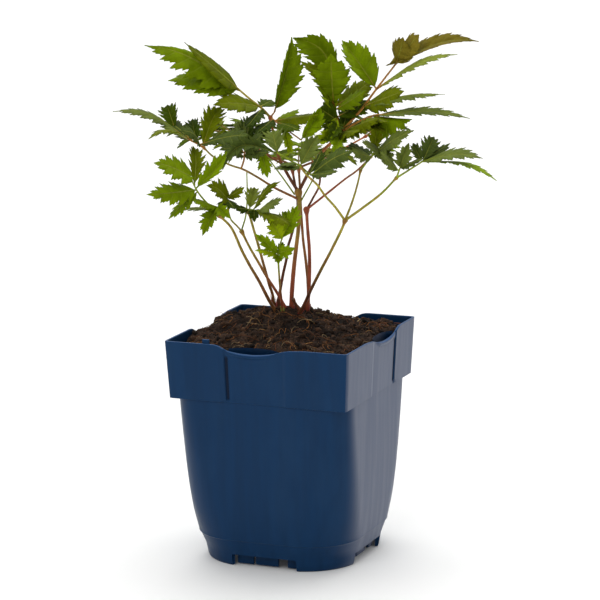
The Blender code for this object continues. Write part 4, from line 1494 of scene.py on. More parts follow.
@dataclass
class Limb:
    """One grown limb with a swollen, rounded tip."""

    way: list[Vector]
    girth: tuple[float, float]
    swell: float
    tints: tuple[Colour, Colour]
    flare: float = 0.0
    flare_height: float = 3.5
    step: float = 1.3
    wave: float = 0.06
    ridges: float = 0.05
    hub_spread: float = 1.25
    hub_tint: Colour = BARK_RED

    @property
    def start(self) -> Vector:
        """Gives the limb's foot."""
        return self.way[0]

    @property
    def end(self) -> Vector:
        """Gives the limb's tip."""
        return self.way[-1]

    def path(self) -> list[Vector]:
        """Gives the limb's centre line from its foot to its tip."""
        return along_curve(self.way, self.step)

    def hub(self) -> float:
        """Gives the radius of the swollen tip."""
        return self.swell * self.girth[1] / 2

    def mesh(self, sides: int, phase: float) -> Shell:
        """Makes the limb.

        Args:
            sides: Points round it.
            phase: Where its first ridge lies.

        Returns:
            The limb with its tints.
        """
        path = self.path()
        count = len(path) - 1
        hub = self.hub()
        radii = []
        for k, point in enumerate(path):
            plain = (self.girth[0] + (self.girth[1] - self.girth[0]) * k / count) / 2
            away = (point - self.end).length
            near = (point - self.start).length
            wave = 1 + self.wave * noise.noise(point * 0.35 + Vector((phase, 0, 0)))
            grown = plain * wave * (1 + self.flare * math.exp(-((near / self.flare_height) ** 2)))
            radii.append(grown + (hub - plain) * math.exp(-((away / (self.hub_spread * hub)) ** 2)))
        ahead = (path[-1] - path[-2]).normalized()
        for along in (0.35, 0.62, 0.83, 0.96):
            path.append(self.end + ahead * hub * along)
            radii.append(hub * math.sqrt(1 - along * along))
        bm = rod(path, radii, sides, self.ridges, phase)
        whole = (self.end - self.start).length

        def colour(vert: Vert) -> Colour:
            """Gives a point's tint by its way along the limb."""
            spot = vert.co / MM
            share = (spot - self.start).length / whole
            tint = between(*self.tints, smooth(share, 0.2, 1.0))
            near = math.exp(-(((spot - self.end).length / (2.2 * hub)) ** 2))
            tint = between(tint, self.hub_tint, 0.6 * near)
            blotch = 0.5 + noise.noise(spot * 0.22 + Vector((phase, 3.0, 0.0)))
            return between(tint, BARK_RED, 0.3 * smooth(blotch, 0.55, 0.9))

        set_tint(bm, colour)
        return bm


@dataclass
class Limbs:
    """All stalks and boughs, from the peat to the last fork."""

    swell: float = 2.2
    fork_swell: float = 2.1
    flare: float = 0.45
    sheath_wall: float = 0.16
    sheath_seed: int = 5
    sheath_red: tuple[Colour, Colour] = (srgb(186, 84, 74), srgb(112, 42, 38))
    sheath_green: tuple[Colour, Colour] = (srgb(168, 172, 84), srgb(128, 136, 52))
    grown: dict[str, Limb] = field(default_factory=dict)

    def build(self) -> list[Thing]:
        """Grows the stalks and the boughs and puts them in place of the plain ones.

        Returns:
            The stalks' piece and the boughs' piece.
        """
        bark = Stalk().build()
        stalks = Piece("leaf_stalks", "stalks", tuple(s.name for s in STEMS), [bark])
        for number, stem in enumerate(STEMS):
            way = crown_way(stem.way)
            foot = way[0] * 2 - way[1]
            foot.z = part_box(stem.name)[0][2] / MM - 1.5
            foot.xy = way[0].xy + (foot.xy - way[0].xy) * 0.3
            limb = Limb([foot, *way], stem.girth, self.swell, stem.tints, self.flare)
            self.grown[stem.name] = limb
            stalks.add(limb.mesh(14, number * 1.7))
        self.add_sheaths(stalks)
        self.add_stub(stalks)
        boughs = Piece("boughs", "stalks", tuple(b.name for b in BOUGHS), [bark])
        for number, bough in enumerate(BOUGHS):
            way = crown_way(bough.way)
            path = self.grown[bough.start].path()
            fork = min(path, key=lambda point, first=way[0]: (point - first).length)
            limb = Limb([fork, *way[1:]], bough.girth, self.fork_swell, bough.tints)
            self.grown[bough.name] = limb
            boughs.add(limb.mesh(12, 20 + number * 1.3))
        return [stalks.finish(), boughs.finish()]

    def add_sheaths(self, piece: Piece) -> None:
        """Adds the sheath scales that wrap the stalks' feet: red ones, and green ones round the shoot."""
        rng = random.Random(self.sheath_seed)
        for stem in STEMS:
            path = self.grown[stem.name].path()
            young = stem.name == "stalk_low_shoot"
            pale, deep = self.sheath_green if young else self.sheath_red
            for turn in (0.0, 2.2, 4.1):
                tall = stem.sheath * rng.uniform(0.7, 1.1)
                heading = turn + rng.uniform(-0.5, 0.5)
                piece.add(self.scale(path, stem.girth[0], heading, tall, between(pale, deep, rng.random())))

    def add_stub(self, piece: Piece) -> None:
        """Adds the short broken stub among the stalks' feet."""
        path = along_curve(crown_way(STUB_WAY), 0.8)
        bm = rod(path, [0.75 * (1 + 0.25 * noise.noise(point)) for point in path], 10, ridges=0.12)
        set_tint(bm, BARK_DARK)
        piece.add(bm)

    def scale(
        self, path: Sequence[Vector], girth: float, heading: float, tall: float, tint: Colour
    ) -> Shell:
        """Makes one pointed sheath scale that hugs a limb's foot.

        Args:
            path: The limb's centre line.
            girth: The limb's girth.
            heading: Where round the limb the scale stands.
            tall: Its height.
            tint: Its tint.

        Returns:
            The scale.
        """
        half, rows = 3, 8

        def place(i: int, j: int) -> Vector:
            """Puts one point of the scale."""
            up = j / rows
            spread = 1.1 * (1 - up**2.2)
            angle = heading + spread * (i / half - 1)
            at = min(up * tall / 1.3, len(path) - 2.0)
            spine = path[int(at)].lerp(path[int(at) + 1], at - int(at))
            reach = girth / 2 * (1.35 - 0.1 * up) + 0.25 * up
            return spine + Vector((math.cos(angle), math.sin(angle), 0.0)) * reach

        bm = gridded(2 * half, rows, place)
        bmesh.ops.remove_doubles(bm, verts=bm.verts, dist=MERGE * MM)
        thicken(bm, self.sheath_wall)
        set_tint(bm, tint)
        return bm


# Leaves


class Crop(Enum):
    """Where a blade belongs: each is one piece of the model."""

    LEFT = "left"
    RIGHT = "right"
    TOP = "top"
    BACK = "back"
    YOUNG = "young"


class Tone(Enum):
    """The leaves' colours. OLIVE, GREEN, FRESH and BROWN are plain colours and DEEP is the darkest
    green. LIT carries a painted glow of light through the blade, SHADE is painted shade, DUSK is
    painted shade with a painted grey sheen, and the grey and pale tones are greyed by a painted sheen.
    """

    DEEP = srgb(52, 70, 6)
    SHADE = srgb(66, 84, 4)
    OLIVE = srgb(97, 108, 5)
    GREEN = srgb(106, 127, 5)
    FRESH = srgb(119, 143, 7)
    # Painted glow of light through the blade
    LIT = srgb(134, 153, 12)
    # Painted shade with a painted grey sheen
    DUSK = srgb(72, 86, 34)
    # Greyed by a painted sheen
    GREY_SHEEN = srgb(102, 115, 48)
    # Greyed by a painted sheen, paler
    PALE_SHEEN = srgb(128, 140, 52)
    BROWN = srgb(118, 106, 30)


# The way from the crown to the camera, in the crown's plan
FRONT = (0.0, 0.98, 0.2)


@dataclass(frozen=True)
class Leaflet:
    """A leaflet: its place along the twig, where its tip lies, its width and how far its right and
    left halves turn toward the side that it faces, in degrees.

    The right half is the one on the right when the leaflet is seen from the side that it faces with
    its tip up. The rest are finer habits: the sideways bow of the midrib as a share of its length,
    how far each half curls on its way out, how far the midrib arches, where along it the blade is
    widest, how far its foot reaches back past its stalk, how deep its teeth are beside the usual,
    the side that it faces and a tone of its own.
    """

    place: float
    tip: Place
    width: float
    right: float
    left: float
    bow: float = 0.0
    curl: tuple[float, float] = (-20.0, -20.0)
    arch: float = 22.0
    widest: float = 0.34
    heart: float = 0.0
    cut: float = 1.0
    facing: Place = FRONT
    tone: Tone | None = None


@dataclass(frozen=True)
class Spray:
    """A leaf spray: the limb and the share of its length where the twig starts, the places that
    the twig runs through, its leaflets, its tone, the piece that it belongs to and its bark."""

    name: str
    start: tuple[str, float]
    way: tuple[Place, ...]
    leaflets: tuple[Leaflet, ...]
    tone: Tone
    crop: Crop
    bark: Colour = BARK_GREEN
    girth: float = 0.95


SPRAYS = (
    Spray("spray_low_left", ("stalk_left", 1), (
        (-38.2, 38, 172.9), (-41.7, 43, 178.8), (-44.4, 46, 185.6),
    ), (
        Leaflet(3, (-60.2, 52, 192.6), 13.3, -30, 53, bow=0.05, widest=0.2, heart=0.13),
        Leaflet(2, (-63.4, 56, 179.1), 12.4, -31, 38, widest=0.26),
        Leaflet(1.85, (-54.2, 50, 167), 8, -48, 48),
        Leaflet(2.3, (-43.8, 24, 195.8), 9, 32, 66, tone=Tone.OLIVE, bow=0.03),
        Leaflet(2.1, (-28.1, 34, 194.6), 9, 66, 32, tone=Tone.FRESH, bow=0.04),
    ), Tone.GREEN, Crop.YOUNG),
    Spray("spray_low_hanging", ("stalk_left", 1), ((-32.9, 37, 169.9),), (
        Leaflet(1, (-39.3, 46, 158.6), 8.9, 32, 66),
        Leaflet(1, (-44.3, 48, 175.3), 7.1, -68, 51, bow=0.04),
        Leaflet(0.8, (-50.3, 16, 165.6), 4.6, -66, 66, tone=Tone.GREY_SHEEN, bow=0.03),
        Leaflet(1, (-26.9, 46, 166.4), 7.1, 47, 47, tone=Tone.FRESH),
    ), Tone.GREEN, Crop.YOUNG),
    Spray("spray_low_small", ("bough_left_small", 1), ((-28.5, 30, 172.8),), (
        Leaflet(1, (-37.4, 36, 179.6), 10.8, -24, 60, bow=0.09, widest=0.2, heart=0.13),
        Leaflet(1, (-20.5, 32, 178.1), 6.3, 44, -44),
        Leaflet(0.9, (-24.8, 38, 169.1), 7.2, 41, -41, tone=Tone.DEEP),
        Leaflet(0.9, (-31.5, 36, 170.2), 6.3, -44, 44, tone=Tone.SHADE),
    ), Tone.OLIVE, Crop.YOUNG),
    Spray("spray_mid_left", ("stalk_left_high", 1), ((-18.7, 15, 164.9), (-14.7, 22, 165.3)), (
        Leaflet(1, (-16.2, 4, 173.2), 8.3, 45, 45, tone=Tone.PALE_SHEEN),
        Leaflet(1.5, (-4.1, 24, 179.3), 5.4, 48, -48, bow=-0.11),
        Leaflet(2, (-3.2, 34, 173), 7.2, 51, -51, tone=Tone.GREY_SHEEN, bow=-0.02),
        Leaflet(2, (-0.2, 42, 162.3), 9, 37, -60, bow=-0.03, widest=0.45),
        Leaflet(1.6, (-16.3, 26, 161), 7.3, 47, 47, tone=Tone.DEEP),
        Leaflet(1, (-26.2, 22, 167.8), 5.4, -48, 48, tone=Tone.DEEP, bow=-0.06),
    ), Tone.OLIVE, Crop.YOUNG),
    Spray("spray_low_shoot", ("stalk_low_shoot", 1), (
        (-5.8, 31, 146.6), (-5, 32, 150.9), (-3.9, 34, 154.5),
    ), (
        Leaflet(3, (-9.1, 36, 164), 9.9, 41, 49, tone=Tone.LIT, widest=0.45),
        Leaflet(3, (3.3, 28, 168.9), 9, 43, 52, bow=0.03),
        Leaflet(3, (-2, 22, 165.2), 8.2, 54, 54, tone=Tone.GREEN),
        Leaflet(1.2, (-16, 36, 157.3), 7.2, 47, 57, bow=0.03),
        Leaflet(1, (-16, 42, 150.8), 5.4, -71, 34, tone=Tone.LIT, bow=0.04),
        Leaflet(1.3, (2, 40, 151.4), 7.2, 35, 47),
        Leaflet(1.4, (-3.5, 30, 152.4), 4.5, 43, 59),
        Leaflet(0.9, (-5.6, 36, 143.4), 5.4, 40, 40, tone=Tone.GREEN),
    ), Tone.FRESH, Crop.YOUNG),
    Spray("spray_left", ("bough_left", 1), (
        (-38.9, 17, 193.7), (-42, 18, 196), (-45.3, 20, 198.1), (-52.1, 12, 201.9),
    ), (
        Leaflet(3, (-78.8, 34, 213.2), 9.8, -63, 69, tone=Tone.GREY_SHEEN, bow=0.09),
        Leaflet(3, (-62.5, 46, 202.4), 8, -77, 77, bow=0.13),
        Leaflet(4, (-56, 2, 211.5), 10.1, 49, 41, tone=Tone.SHADE, widest=0.45),
        Leaflet(2.6, (-59.2, 4, 204.5), 11, -41, 54, tone=Tone.DUSK, bow=0.08),
        Leaflet(2, (-44.6, 2, 204.9), 8.2, 54, 45, tone=Tone.DEEP),
        Leaflet(1.3, (-31.1, -2, 209.6), 11.9, 52, 46, bow=-0.05, widest=0.45),
        Leaflet(1.2, (-28.5, 8, 202.2), 4.6, 53, -66),
        Leaflet(1.7, (-18.1, 34, 202), 9.9, 57, -43, tone=Tone.DUSK, bow=-0.04, widest=0.62),
        Leaflet(1.6, (-48.7, 40, 205), 8, -56, 56, tone=Tone.DUSK, bow=0.09),
    ), Tone.OLIVE, Crop.LEFT, BARK_TAN),
    Spray("spray_mid_dark", ("bough_left", 0.6), ((-21, 8, 186.6), (-20, 6, 191), (-13.1, 12, 191.3)), (
        Leaflet(3, (-10.3, 14, 179.4), 7.3, 35, 47, tone=Tone.FRESH),
        Leaflet(2, (-23.8, -10, 202.3), 8.3, 54, 62, tone=Tone.GREY_SHEEN),
        Leaflet(2, (-17.9, -16, 203.1), 10.2, 56, 56, tone=Tone.DEEP),
        Leaflet(2, (-9, -8, 201.3), 8.3, 54, 54, tone=Tone.DEEP),
        Leaflet(1.8, (-12, 20, 200.3), 10.9, 48, -48),
        Leaflet(1.6, (-29.9, 10, 198.1), 10.9, -48, 48),
        Leaflet(1.3, (-31.9, 24, 193.8), 8.1, -48, 48, bow=0.08),
        Leaflet(1.5, (-8.9, 22, 192.3), 8.1, 48, -56),
    ), Tone.DUSK, Crop.LEFT, BARK_TAN),
    Spray("spray_front_arch", ("bough_front", 1), (
        (4.6, 53, 190.7), (-0.7, 56, 194.3), (-5.7, 58, 197.6),
    ), (
        Leaflet(3, (-29.1, 78, 193.4), 8.7, 43, 66, bow=0.22, widest=0.45),
        Leaflet(2.9, (-7.2, 46, 205.6), 11.5, 46, 46, tone=Tone.GREY_SHEEN),
        Leaflet(1, (-6.8, 68, 191.8), 7, -60, 68),
        Leaflet(1.6, (-3.7, 66, 192.8), 6.1, -55, 65),
        Leaflet(1, (12.7, 44, 202.7), 9.8, 41, 41, tone=Tone.GREY_SHEEN),
        Leaflet(2.4, (1, 30, 190.7), 6.3, 61, 50, tone=Tone.LIT),
    ), Tone.DUSK, Crop.LEFT),
    Spray("spray_front_right", ("bough_front", 1), ((9.4, 47, 185.6),), (
        Leaflet(1, (28.1, 54, 197.3), 12.4, 38, -50, bow=-0.07, widest=0.45),
        Leaflet(1, (21.3, 62, 189.7), 7, 68, -51),
        Leaflet(0.9, (14.5, 34, 194.8), 7.2, 51, -51, tone=Tone.DEEP),
    ), Tone.DUSK, Crop.RIGHT),
    Spray("spray_upper_left", ("bough_upper_left", 1), (
        (-12.6, -5.5, 208.4), (-17.6, -5, 212.5), (-22.6, -5, 216.9),
    ), (
        Leaflet(3, (-65.6, 4, 239.2), 20, 6, 36, bow=0.09, curl=(-195, -20), widest=0.26),
        Leaflet(3, (-47.4, 8, 241), 10.9, -48, 60, tone=Tone.OLIVE, widest=0.15, cut=0.1),
        Leaflet(3, (-55.4, 0, 222.5), 18.3, -53, 46, bow=0.09, cut=0.55),
        Leaflet(1.2, (-34.7, 10, 212.4), 12.7, -31, 55, tone=Tone.OLIVE, bow=0.04, cut=0.55),
        Leaflet(1.2, (-8, -16, 210.9), 8.3, 48, -27, tone=Tone.SHADE),
        Leaflet(1, (-19.8, 10, 201.7), 9.1, -46, 46, tone=Tone.DEEP),
    ), Tone.GREEN, Crop.TOP, BARK_STRAW, 1.25),
    Spray("spray_upright", ("bough_upper_left", 1), ((-6.9, -5, 206.8),), (
        Leaflet(1, (1.3, -5, 241.3), 16.5, 25, 86, bow=0.05, cut=0.55),
    ), Tone.GREEN, Crop.TOP, BARK_TAN),
    Spray("spray_under_upright", ("bough_upper_left", 1), (
        (-6.7, -2, 203.1), (-3, 6, 201.4), (5.2, 12, 196.2),
    ), (
        Leaflet(3, (14.5, 6, 210.2), 11, 40, 77, bow=0.03, cut=0.55),
        Leaflet(1, (13.9, 14, 208.3), 10.9, 41, -65, tone=Tone.OLIVE, bow=0.02, cut=0.55),
        Leaflet(1, (4.4, -10, 207.4), 7.4, 51, -60, tone=Tone.GREEN),
        Leaflet(2, (0.8, 20, 189.2), 6.3, 61, 50, tone=Tone.LIT),
        Leaflet(1.4, (4.8, 20, 201.5), 9, 46, -53, tone=Tone.SHADE),
        Leaflet(0.6, (-15.3, 12, 199.6), 9.1, -46, 46, tone=Tone.DEEP),
    ), Tone.FRESH, Crop.TOP, BARK_TAN),
    Spray("spray_top", ("bough_upper_right", 1), ((21.8, -1, 204.7), (20.3, -3, 211)), (
        Leaflet(2, (19.2, 10, 235.1), 18.1, 32, 32, widest=0.55, cut=0.55),
        Leaflet(2, (2, -8, 240.5), 17.4, 61, 33, bow=0.23, widest=0.62, cut=0.55),
        Leaflet(1.8, (5.1, 6, 231.6), 9.1, -37, 73, tone=Tone.OLIVE, bow=0.09, widest=0.55),
        Leaflet(1.7, (38.1, -6, 221), 12, 46, -32, tone=Tone.OLIVE, widest=0.45, cut=0.55),
        Leaflet(1.5, (35.1, 4, 217.7), 10, 43, -50, widest=0.45),
        Leaflet(1, (37.1, -4, 212), 11.9, 40, -40, tone=Tone.SHADE, widest=0.45, cut=0.55),
        Leaflet(1.3, (16.7, -10, 215.2), 10.1, 49, 69, tone=Tone.LIT),
        Leaflet(0.7, (13.6, -6, 208.3), 12.9, 50, 44, tone=Tone.SHADE, cut=0.55),
        Leaflet(0.5, (16.9, 24, 196.5), 8.1, 54, 54, tone=Tone.SHADE),
        Leaflet(1, (5.2, 26, 197.4), 8.1, 45, 54, tone=Tone.LIT, bow=-0.14),
    ), Tone.GREEN, Crop.TOP, BARK_TAN, 1.25),
    Spray("spray_top_right", ("bough_upper_right", 1), ((32.4, 1, 207.7), (39.9, 3, 218), (49.1, 4, 230)), (
        Leaflet(3, (85.9, 16, 240.8), 12.6, 84, -31, bow=-0.11, widest=0.2, heart=0.13, cut=0.35),
        Leaflet(3, (51.7, 14, 243), 12.6, 31, -38, widest=0.26, cut=0.35),
        Leaflet(3, (58.9, 15, 244.1), 11.7, 40, -46, bow=-0.03, widest=0.55, cut=0.35),
        Leaflet(2, (24.5, -10, 239.1), 16.6, 33, 66, tone=Tone.GREEN, bow=0.02, widest=0.26, cut=0.55),
        Leaflet(2, (75.7, 26, 236.3), 8.1, 64, -64, tone=Tone.PALE_SHEEN, bow=-0.08),
        Leaflet(1.2, (51.8, 22, 219.5), 13.5, 37, -43, tone=Tone.OLIVE, widest=0.45, cut=0.55),
        Leaflet(1.3, (69.5, 38, 219.9), 7.1, 51, -68, tone=Tone.GREY_SHEEN, bow=-0.01, widest=0.26),
    ), Tone.BROWN, Crop.TOP, BARK_TAN, 1.25),
    Spray("spray_right_crescent", ("bough_upper_right", 1), ((32.2, 8, 204.1), (38.2, 15, 207.5)), (
        Leaflet(2, (80.5, 40, 209.2), 8.9, 73, -46, tone=Tone.GREY_SHEEN, bow=-0.04, widest=0.26),
        Leaflet(1.9, (55.2, 26, 207.3), 18.9, 25, -82, tone=Tone.FRESH),
        Leaflet(1.5, (44.2, 34, 207.2), 8.1, 56, -71),
        Leaflet(1.2, (42.9, 30, 202.1), 9, 53, -60),
    ), Tone.OLIVE, Crop.RIGHT, BARK_TAN),
    Spray("spray_dark_heart", ("bough_upper_right", 1), ((24, 3, 197.9),), (
        Leaflet(1, (41.1, 32, 208.7), 11.6, 32, -72, bow=-0.03),
        Leaflet(1, (19.5, 30, 191.5), 9, 43, 52, tone=Tone.FRESH),
        Leaflet(0.8, (12.4, 20, 197.8), 10, -50, 57, tone=Tone.SHADE),
        Leaflet(0.6, (31.7, 30, 202.7), 9.9, 43, -57),
        Leaflet(0.5, (14.4, 4, 202.3), 11, -48, 48, tone=Tone.SHADE),
        Leaflet(0.5, (27.6, -12, 208.7), 10.2, 49, 49, tone=Tone.DEEP),
        Leaflet(0.5, (36.6, -6, 204.4), 10.1, 43, -57, tone=Tone.DEEP),
    ), Tone.OLIVE, Crop.RIGHT, BARK_TAN),
    Spray("spray_right_back", ("bough_right_back", 1), ((39, -13, 186.5),), (
        Leaflet(1, (41, -16, 200.6), 9.3, 52, 52),
        Leaflet(1, (51.4, -22, 191.1), 9.3, 46, -60, tone=Tone.GREEN),
        Leaflet(0.8, (48, -4, 185.9), 7.4, 60, -60, tone=Tone.SHADE),
        Leaflet(0.6, (30.8, -20, 186.5), 8.4, -48, 48, tone=Tone.DEEP),
    ), Tone.OLIVE, Crop.RIGHT),
    Spray("spray_right_grey", ("bough_right_up", 1), ((36.8, 20, 189.3), (41.7, 24, 193)), (
        Leaflet(1.3, (55.4, 44, 204.9), 10.7, 60, -48, bow=-0.02, widest=0.26),
        Leaflet(1, (27.6, 28, 193.8), 9, -46, 46),
        Leaflet(0.9, (28.1, 2, 193.5), 8.3, -39, 48, tone=Tone.DEEP),
        Leaflet(2, (46.7, 36, 187.1), 9, 52, 52),
        Leaflet(1.9, (32.4, 36, 198.6), 8.1, -48, 64),
    ), Tone.GREY_SHEEN, Crop.RIGHT),
    Spray("spray_right_small", ("bough_right_low", 1), ((49.4, 37, 186.8),), (
        Leaflet(1, (53.3, 40, 198.5), 10.7, 60, 54, widest=0.26),
        Leaflet(1, (59.6, 50, 193.2), 6.2, 65, -65, tone=Tone.DUSK),
        Leaflet(0.7, (40.3, 42, 195.3), 8, -56, 56),
    ), Tone.GREY_SHEEN, Crop.RIGHT),
    Spray("spray_right_low", ("bough_right_low", 1), ((59.5, 40, 190.2),), (
        Leaflet(1, (64.9, 30, 199.8), 9.9, 49, 41),
        Leaflet(0.95, (55.3, 36, 197.9), 7.2, 57, 57),
        Leaflet(1, (84.8, 62, 194.6), 11.4, 72, -46, tone=Tone.GREY_SHEEN, bow=-0.07, widest=0.26),
        Leaflet(1, (90.9, 66, 185.2), 8.8, 81, -63, tone=Tone.FRESH, bow=-0.08),
        Leaflet(0.9, (71.9, 34, 197.4), 8.1, 56, -48),
    ), Tone.DUSK, Crop.RIGHT),
)

# Sprays of the hidden side: limb, heading in plan (0 is right, 90 is back), twig length, reach
BACK_SPRAYS = (
    ("spray_back_left_1", "bough_back_left", 158, 17, 24),
    ("spray_back_left_2", "bough_back_left", 122, 16, 22),
    ("spray_back_left_3", "bough_back_left", 86, 18, 26),
    ("spray_back_right_1", "bough_back_right", 92, 18, 26),
    ("spray_back_right_2", "bough_back_right", 62, 18, 22),
    ("spray_back_right_3", "bough_back_right", 12, 9, 12),
    ("spray_back_mid", "stalk_back", 90, 24, 26),
    ("spray_dark_left", "bough_dark_left", 165, 11, 17),
    ("spray_dark_behind", "bough_dark_left", 105, 12, 22),
    ("spray_dark_right", "bough_right_dark", 20, 10, 22),
    ("spray_dark_mid", "bough_right_dark", 110, 10, 22),
)


@dataclass(frozen=True)
class BackHabit:
    """The rule that the hidden side's sprays grow by."""

    # Place along the twig, heading off the twig's and share of the reach of each leaflet
    pattern: Rows = (
        (1.0, 0, 1.0), (0.72, 48, 0.86), (0.72, -48, 0.86), (0.34, 62, 0.74), (0.34, -62, 0.74),
    )
    tones: tuple[Tone, ...] = (Tone.SHADE, Tone.OLIVE, Tone.GREEN, Tone.OLIVE)
    girth: float = 0.8
    rise: float = 0.25
    droop: float = 12.0
    slender: float = 0.5
    tilt: float = -6.0
    fold: float = 24.0
    arch: float = 24.0
    heading_spread: float = 7.0
    droop_spread: float = 8.0
    reach_spread: float = 0.08
    seed: int = 71

    def grow(self, tips: Mapping[str, Vector]) -> list[Spray]:
        """Grows all sprays of the hidden side.

        Args:
            tips: Each limb's tip in the crown's plan.

        Returns:
            The sprays.
        """
        rng = random.Random(self.seed)
        tilt = math.radians(self.tilt)
        facing = (0.0, math.sin(tilt), math.cos(tilt))
        fold = (self.fold, self.fold)
        found = []
        for number, (name, start, heading, length, reach) in enumerate(BACK_SPRAYS):
            angle = math.radians(heading)
            run = Vector((length * math.cos(angle), -length * math.sin(angle), length * self.rise))
            leaflets = []
            for place, aside, share in self.pattern:
                sway = rng.uniform(-self.heading_spread, self.heading_spread)
                plan = math.radians(heading + aside + sway)
                drop = math.radians(self.droop + rng.uniform(-self.droop_spread, self.droop_spread))
                level = math.cos(drop)
                way = Vector((math.cos(plan) * level, -math.sin(plan) * level, -math.sin(drop)))
                size = reach * share * (1.0 + rng.uniform(-self.reach_spread, self.reach_spread))
                tip = tuple(tips[start] + run * place + way * size)
                width = size * self.slender
                leaflets.append(Leaflet(place, tip, width, *fold, arch=self.arch, facing=facing))
            tone = self.tones[number % len(self.tones)]
            way = (tuple(tips[start] + run),)
            habit = (tone, Crop.BACK, BARK_BROWN, self.girth)
            found.append(Spray(name, (start, 1), way, tuple(leaflets), *habit))
        return found


@dataclass
class Blade:
    """One leaflet's blade: a lobed, toothed, quilted, folded sheet on an arched midrib.

    Each lobe carries three teeth that point to the tip. Its edge is read from the heights in lobe.
    """

    base: Vector
    leaf: Leaflet
    tint: Colour
    seed: int
    lobes: int = 6
    lobe: tuple[float, ...] = (1.0, 0.02, 0.2, 0.47, 0.3, 0.5, 0.78, 0.62, 0.84)
    half_columns: int = 5
    slant: float = 0.12
    tooth_reach: float = 0.34
    neck: float = 0.045
    depth: tuple[float, float] = (0.52, 0.68)
    sway: float = 0.02
    quilt: float = 0.07
    ripple: float = 0.09
    cord_rows: int = 14
    cord_leaf: Colour = srgb(134, 140, 48)

    def span(self) -> Vector:
        """Gives the way from the blade's foot to its tip."""
        return crown(*self.leaf.tip) - self.base

    def directions(self) -> tuple[Vector, Vector, Vector]:
        """Gives the ways along the midrib, out of the upper face, and to the blade's right."""
        along = self.span().normalized()
        facing = crown(*self.leaf.facing)
        normal = (facing - along * facing.dot(along)).normalized()
        return along, normal, along.cross(normal).normalized()

    def rib(self, share: float) -> tuple[Vector, Vector, Vector]:
        """Gives the midrib's place at a share of its length, with the blade's out and side ways.

        Args:
            share: Share of the midrib's length.

        Returns:
            The place, the way out of the upper face and the way to the right.
        """
        along, normal, side = self.directions()
        arch = math.radians(max(self.leaf.arch, 1.0))
        angle = arch * (0.5 - share)
        run = (math.sin(arch / 2) - math.sin(angle)) / (2 * math.sin(arch / 2))
        rise = (math.cos(angle) - math.cos(arch / 2)) / (2 * math.sin(arch / 2))
        sway = self.leaf.bow + random.Random(self.seed).uniform(-self.sway, self.sway)
        swing = sway * math.sin(math.pi * share) * (0.45 + share)
        point = self.base + (along * run + normal * rise + side * swing) * self.span().length
        return point, normal * math.cos(angle) - along * math.sin(angle), side

    def outline(self, share: float) -> float:
        """Gives the blade's half width at a share of its length, as a share of its widest."""
        if share <= self.neck:
            return 0.04
        at = (share - self.neck) / (1 - self.neck)
        widest = self.leaf.widest
        if at < widest:
            return max(0.04, math.sin(math.pi / 2 * at / widest) ** (0.62 - self.leaf.heart * 2))
        taper = math.cos(math.pi / 2 * (at - widest) / (1 - widest))
        return max(0.03 * (1 - at), max(taper, 0.0) ** 1.2)

    def half_spot(self, turn: float, curl: float, off: float) -> tuple[float, float]:
        """Gives how far out and how far up a place on one half lies, as shares of its width."""
        last = turn + curl * off
        return (math.sin(last) - math.sin(turn)) / curl, (math.cos(turn) - math.cos(last)) / curl

    def mesh(self) -> Shell:
        """Makes the blade, with its own map and tint.

        Returns:
            The blade.
        """
        leaf = self.leaf
        rng = random.Random(self.seed + 1)
        beats = len(self.lobe)
        rows = self.lobes * beats
        half = self.half_columns
        phase = rng.uniform(0, 6.28)
        deep = [leaf.cut * limit for limit in self.depth]
        lobes = range(self.lobes + 1)
        depths = [[rng.uniform(*deep) * rng.uniform(0.75, 1.2) for _ in lobes] for _ in (0, 1)]
        spines = [self.rib(j / rows) for j in range(rows + 1)]
        turns = [math.radians(leaf.left), math.radians(leaf.right)]
        curls = [math.radians(leaf.curl[1]), math.radians(leaf.curl[0])]
        spread = leaf.width / 2
        back = self.directions()[0] * -leaf.heart * self.span().length

        def place(i: int, j: int) -> Vector:
            """Puts one point of the blade."""
            aside = (i - half) / half
            hand = 0 if aside < 0 else 1
            share = j / rows
            off = abs(aside)
            grow = self.lobe[j % beats]
            firm = smooth(share, 0.03, 0.12) * (1 - 0.35 * smooth(share, 0.7, 1.0))
            forward = self.slant * math.sin(math.pi * min(share * 1.05, 1.0)) * off
            forward += self.tooth_reach / self.lobes * (grow - 0.4) * off**2.5 * firm
            spine = min(max(share + forward, 0.0), 1.0) * rows
            low = min(int(spine), rows - 1)
            first, second = spines[low], spines[low + 1]
            point = first[0].lerp(second[0], spine - low)
            point += back * (off**1.5 * math.exp(-((share / 0.16) ** 2)))
            out = first[1].lerp(second[1], spine - low).normalized()
            margin = 1.0 + depths[hand][j // beats] * (grow - 0.62) * firm * off**2
            width = spread * self.outline(share) * margin
            across, rise = self.half_spot(turns[hand], curls[hand], off)
            beat = j / beats
            quilt = self.quilt * math.sin(math.pi * beat) ** 2
            quilt *= math.sin(math.pi * min(off, 0.95)) * (1.2 - share)
            ripple = self.ripple * math.sin(math.pi * beat + phase + 2.1 * hand)
            ripple *= off**2 * (1 - 0.6 * share)
            lift = rise * width + (quilt + ripple) * spread
            return point + first[2] * math.copysign(1.0, aside) * across * width + out * lift

        bm = gridded(2 * half, rows, place)
        column = bm.verts.layers.int["column"]
        row = bm.verts.layers.int["row"]
        spots = bm.loops.layers.uv.new("blade")
        for face in bm.faces:
            for loop in face.loops:
                loop[spots].uv = (loop.vert[row] / beats, (loop.vert[column] - half) / half)
        tilt = rng.uniform(-0.1, 0.1)

        def colour(vert: Vert) -> Colour:
            """Gives a point's tint, with a soft change from the midrib out and along the blade."""
            off = abs(vert[column] - half) / half
            along = vert[row] / rows
            lift = 1.0 + tilt + 0.1 * noise.noise(vert.co * 90) - 0.08 * off + 0.06 * along
            return tuple(value * lift for value in self.tint[:3]) + (1.0,)

        set_tint(bm, colour)
        bmesh.ops.remove_doubles(bm, verts=bm.verts, dist=0.002 * MM)
        return bm

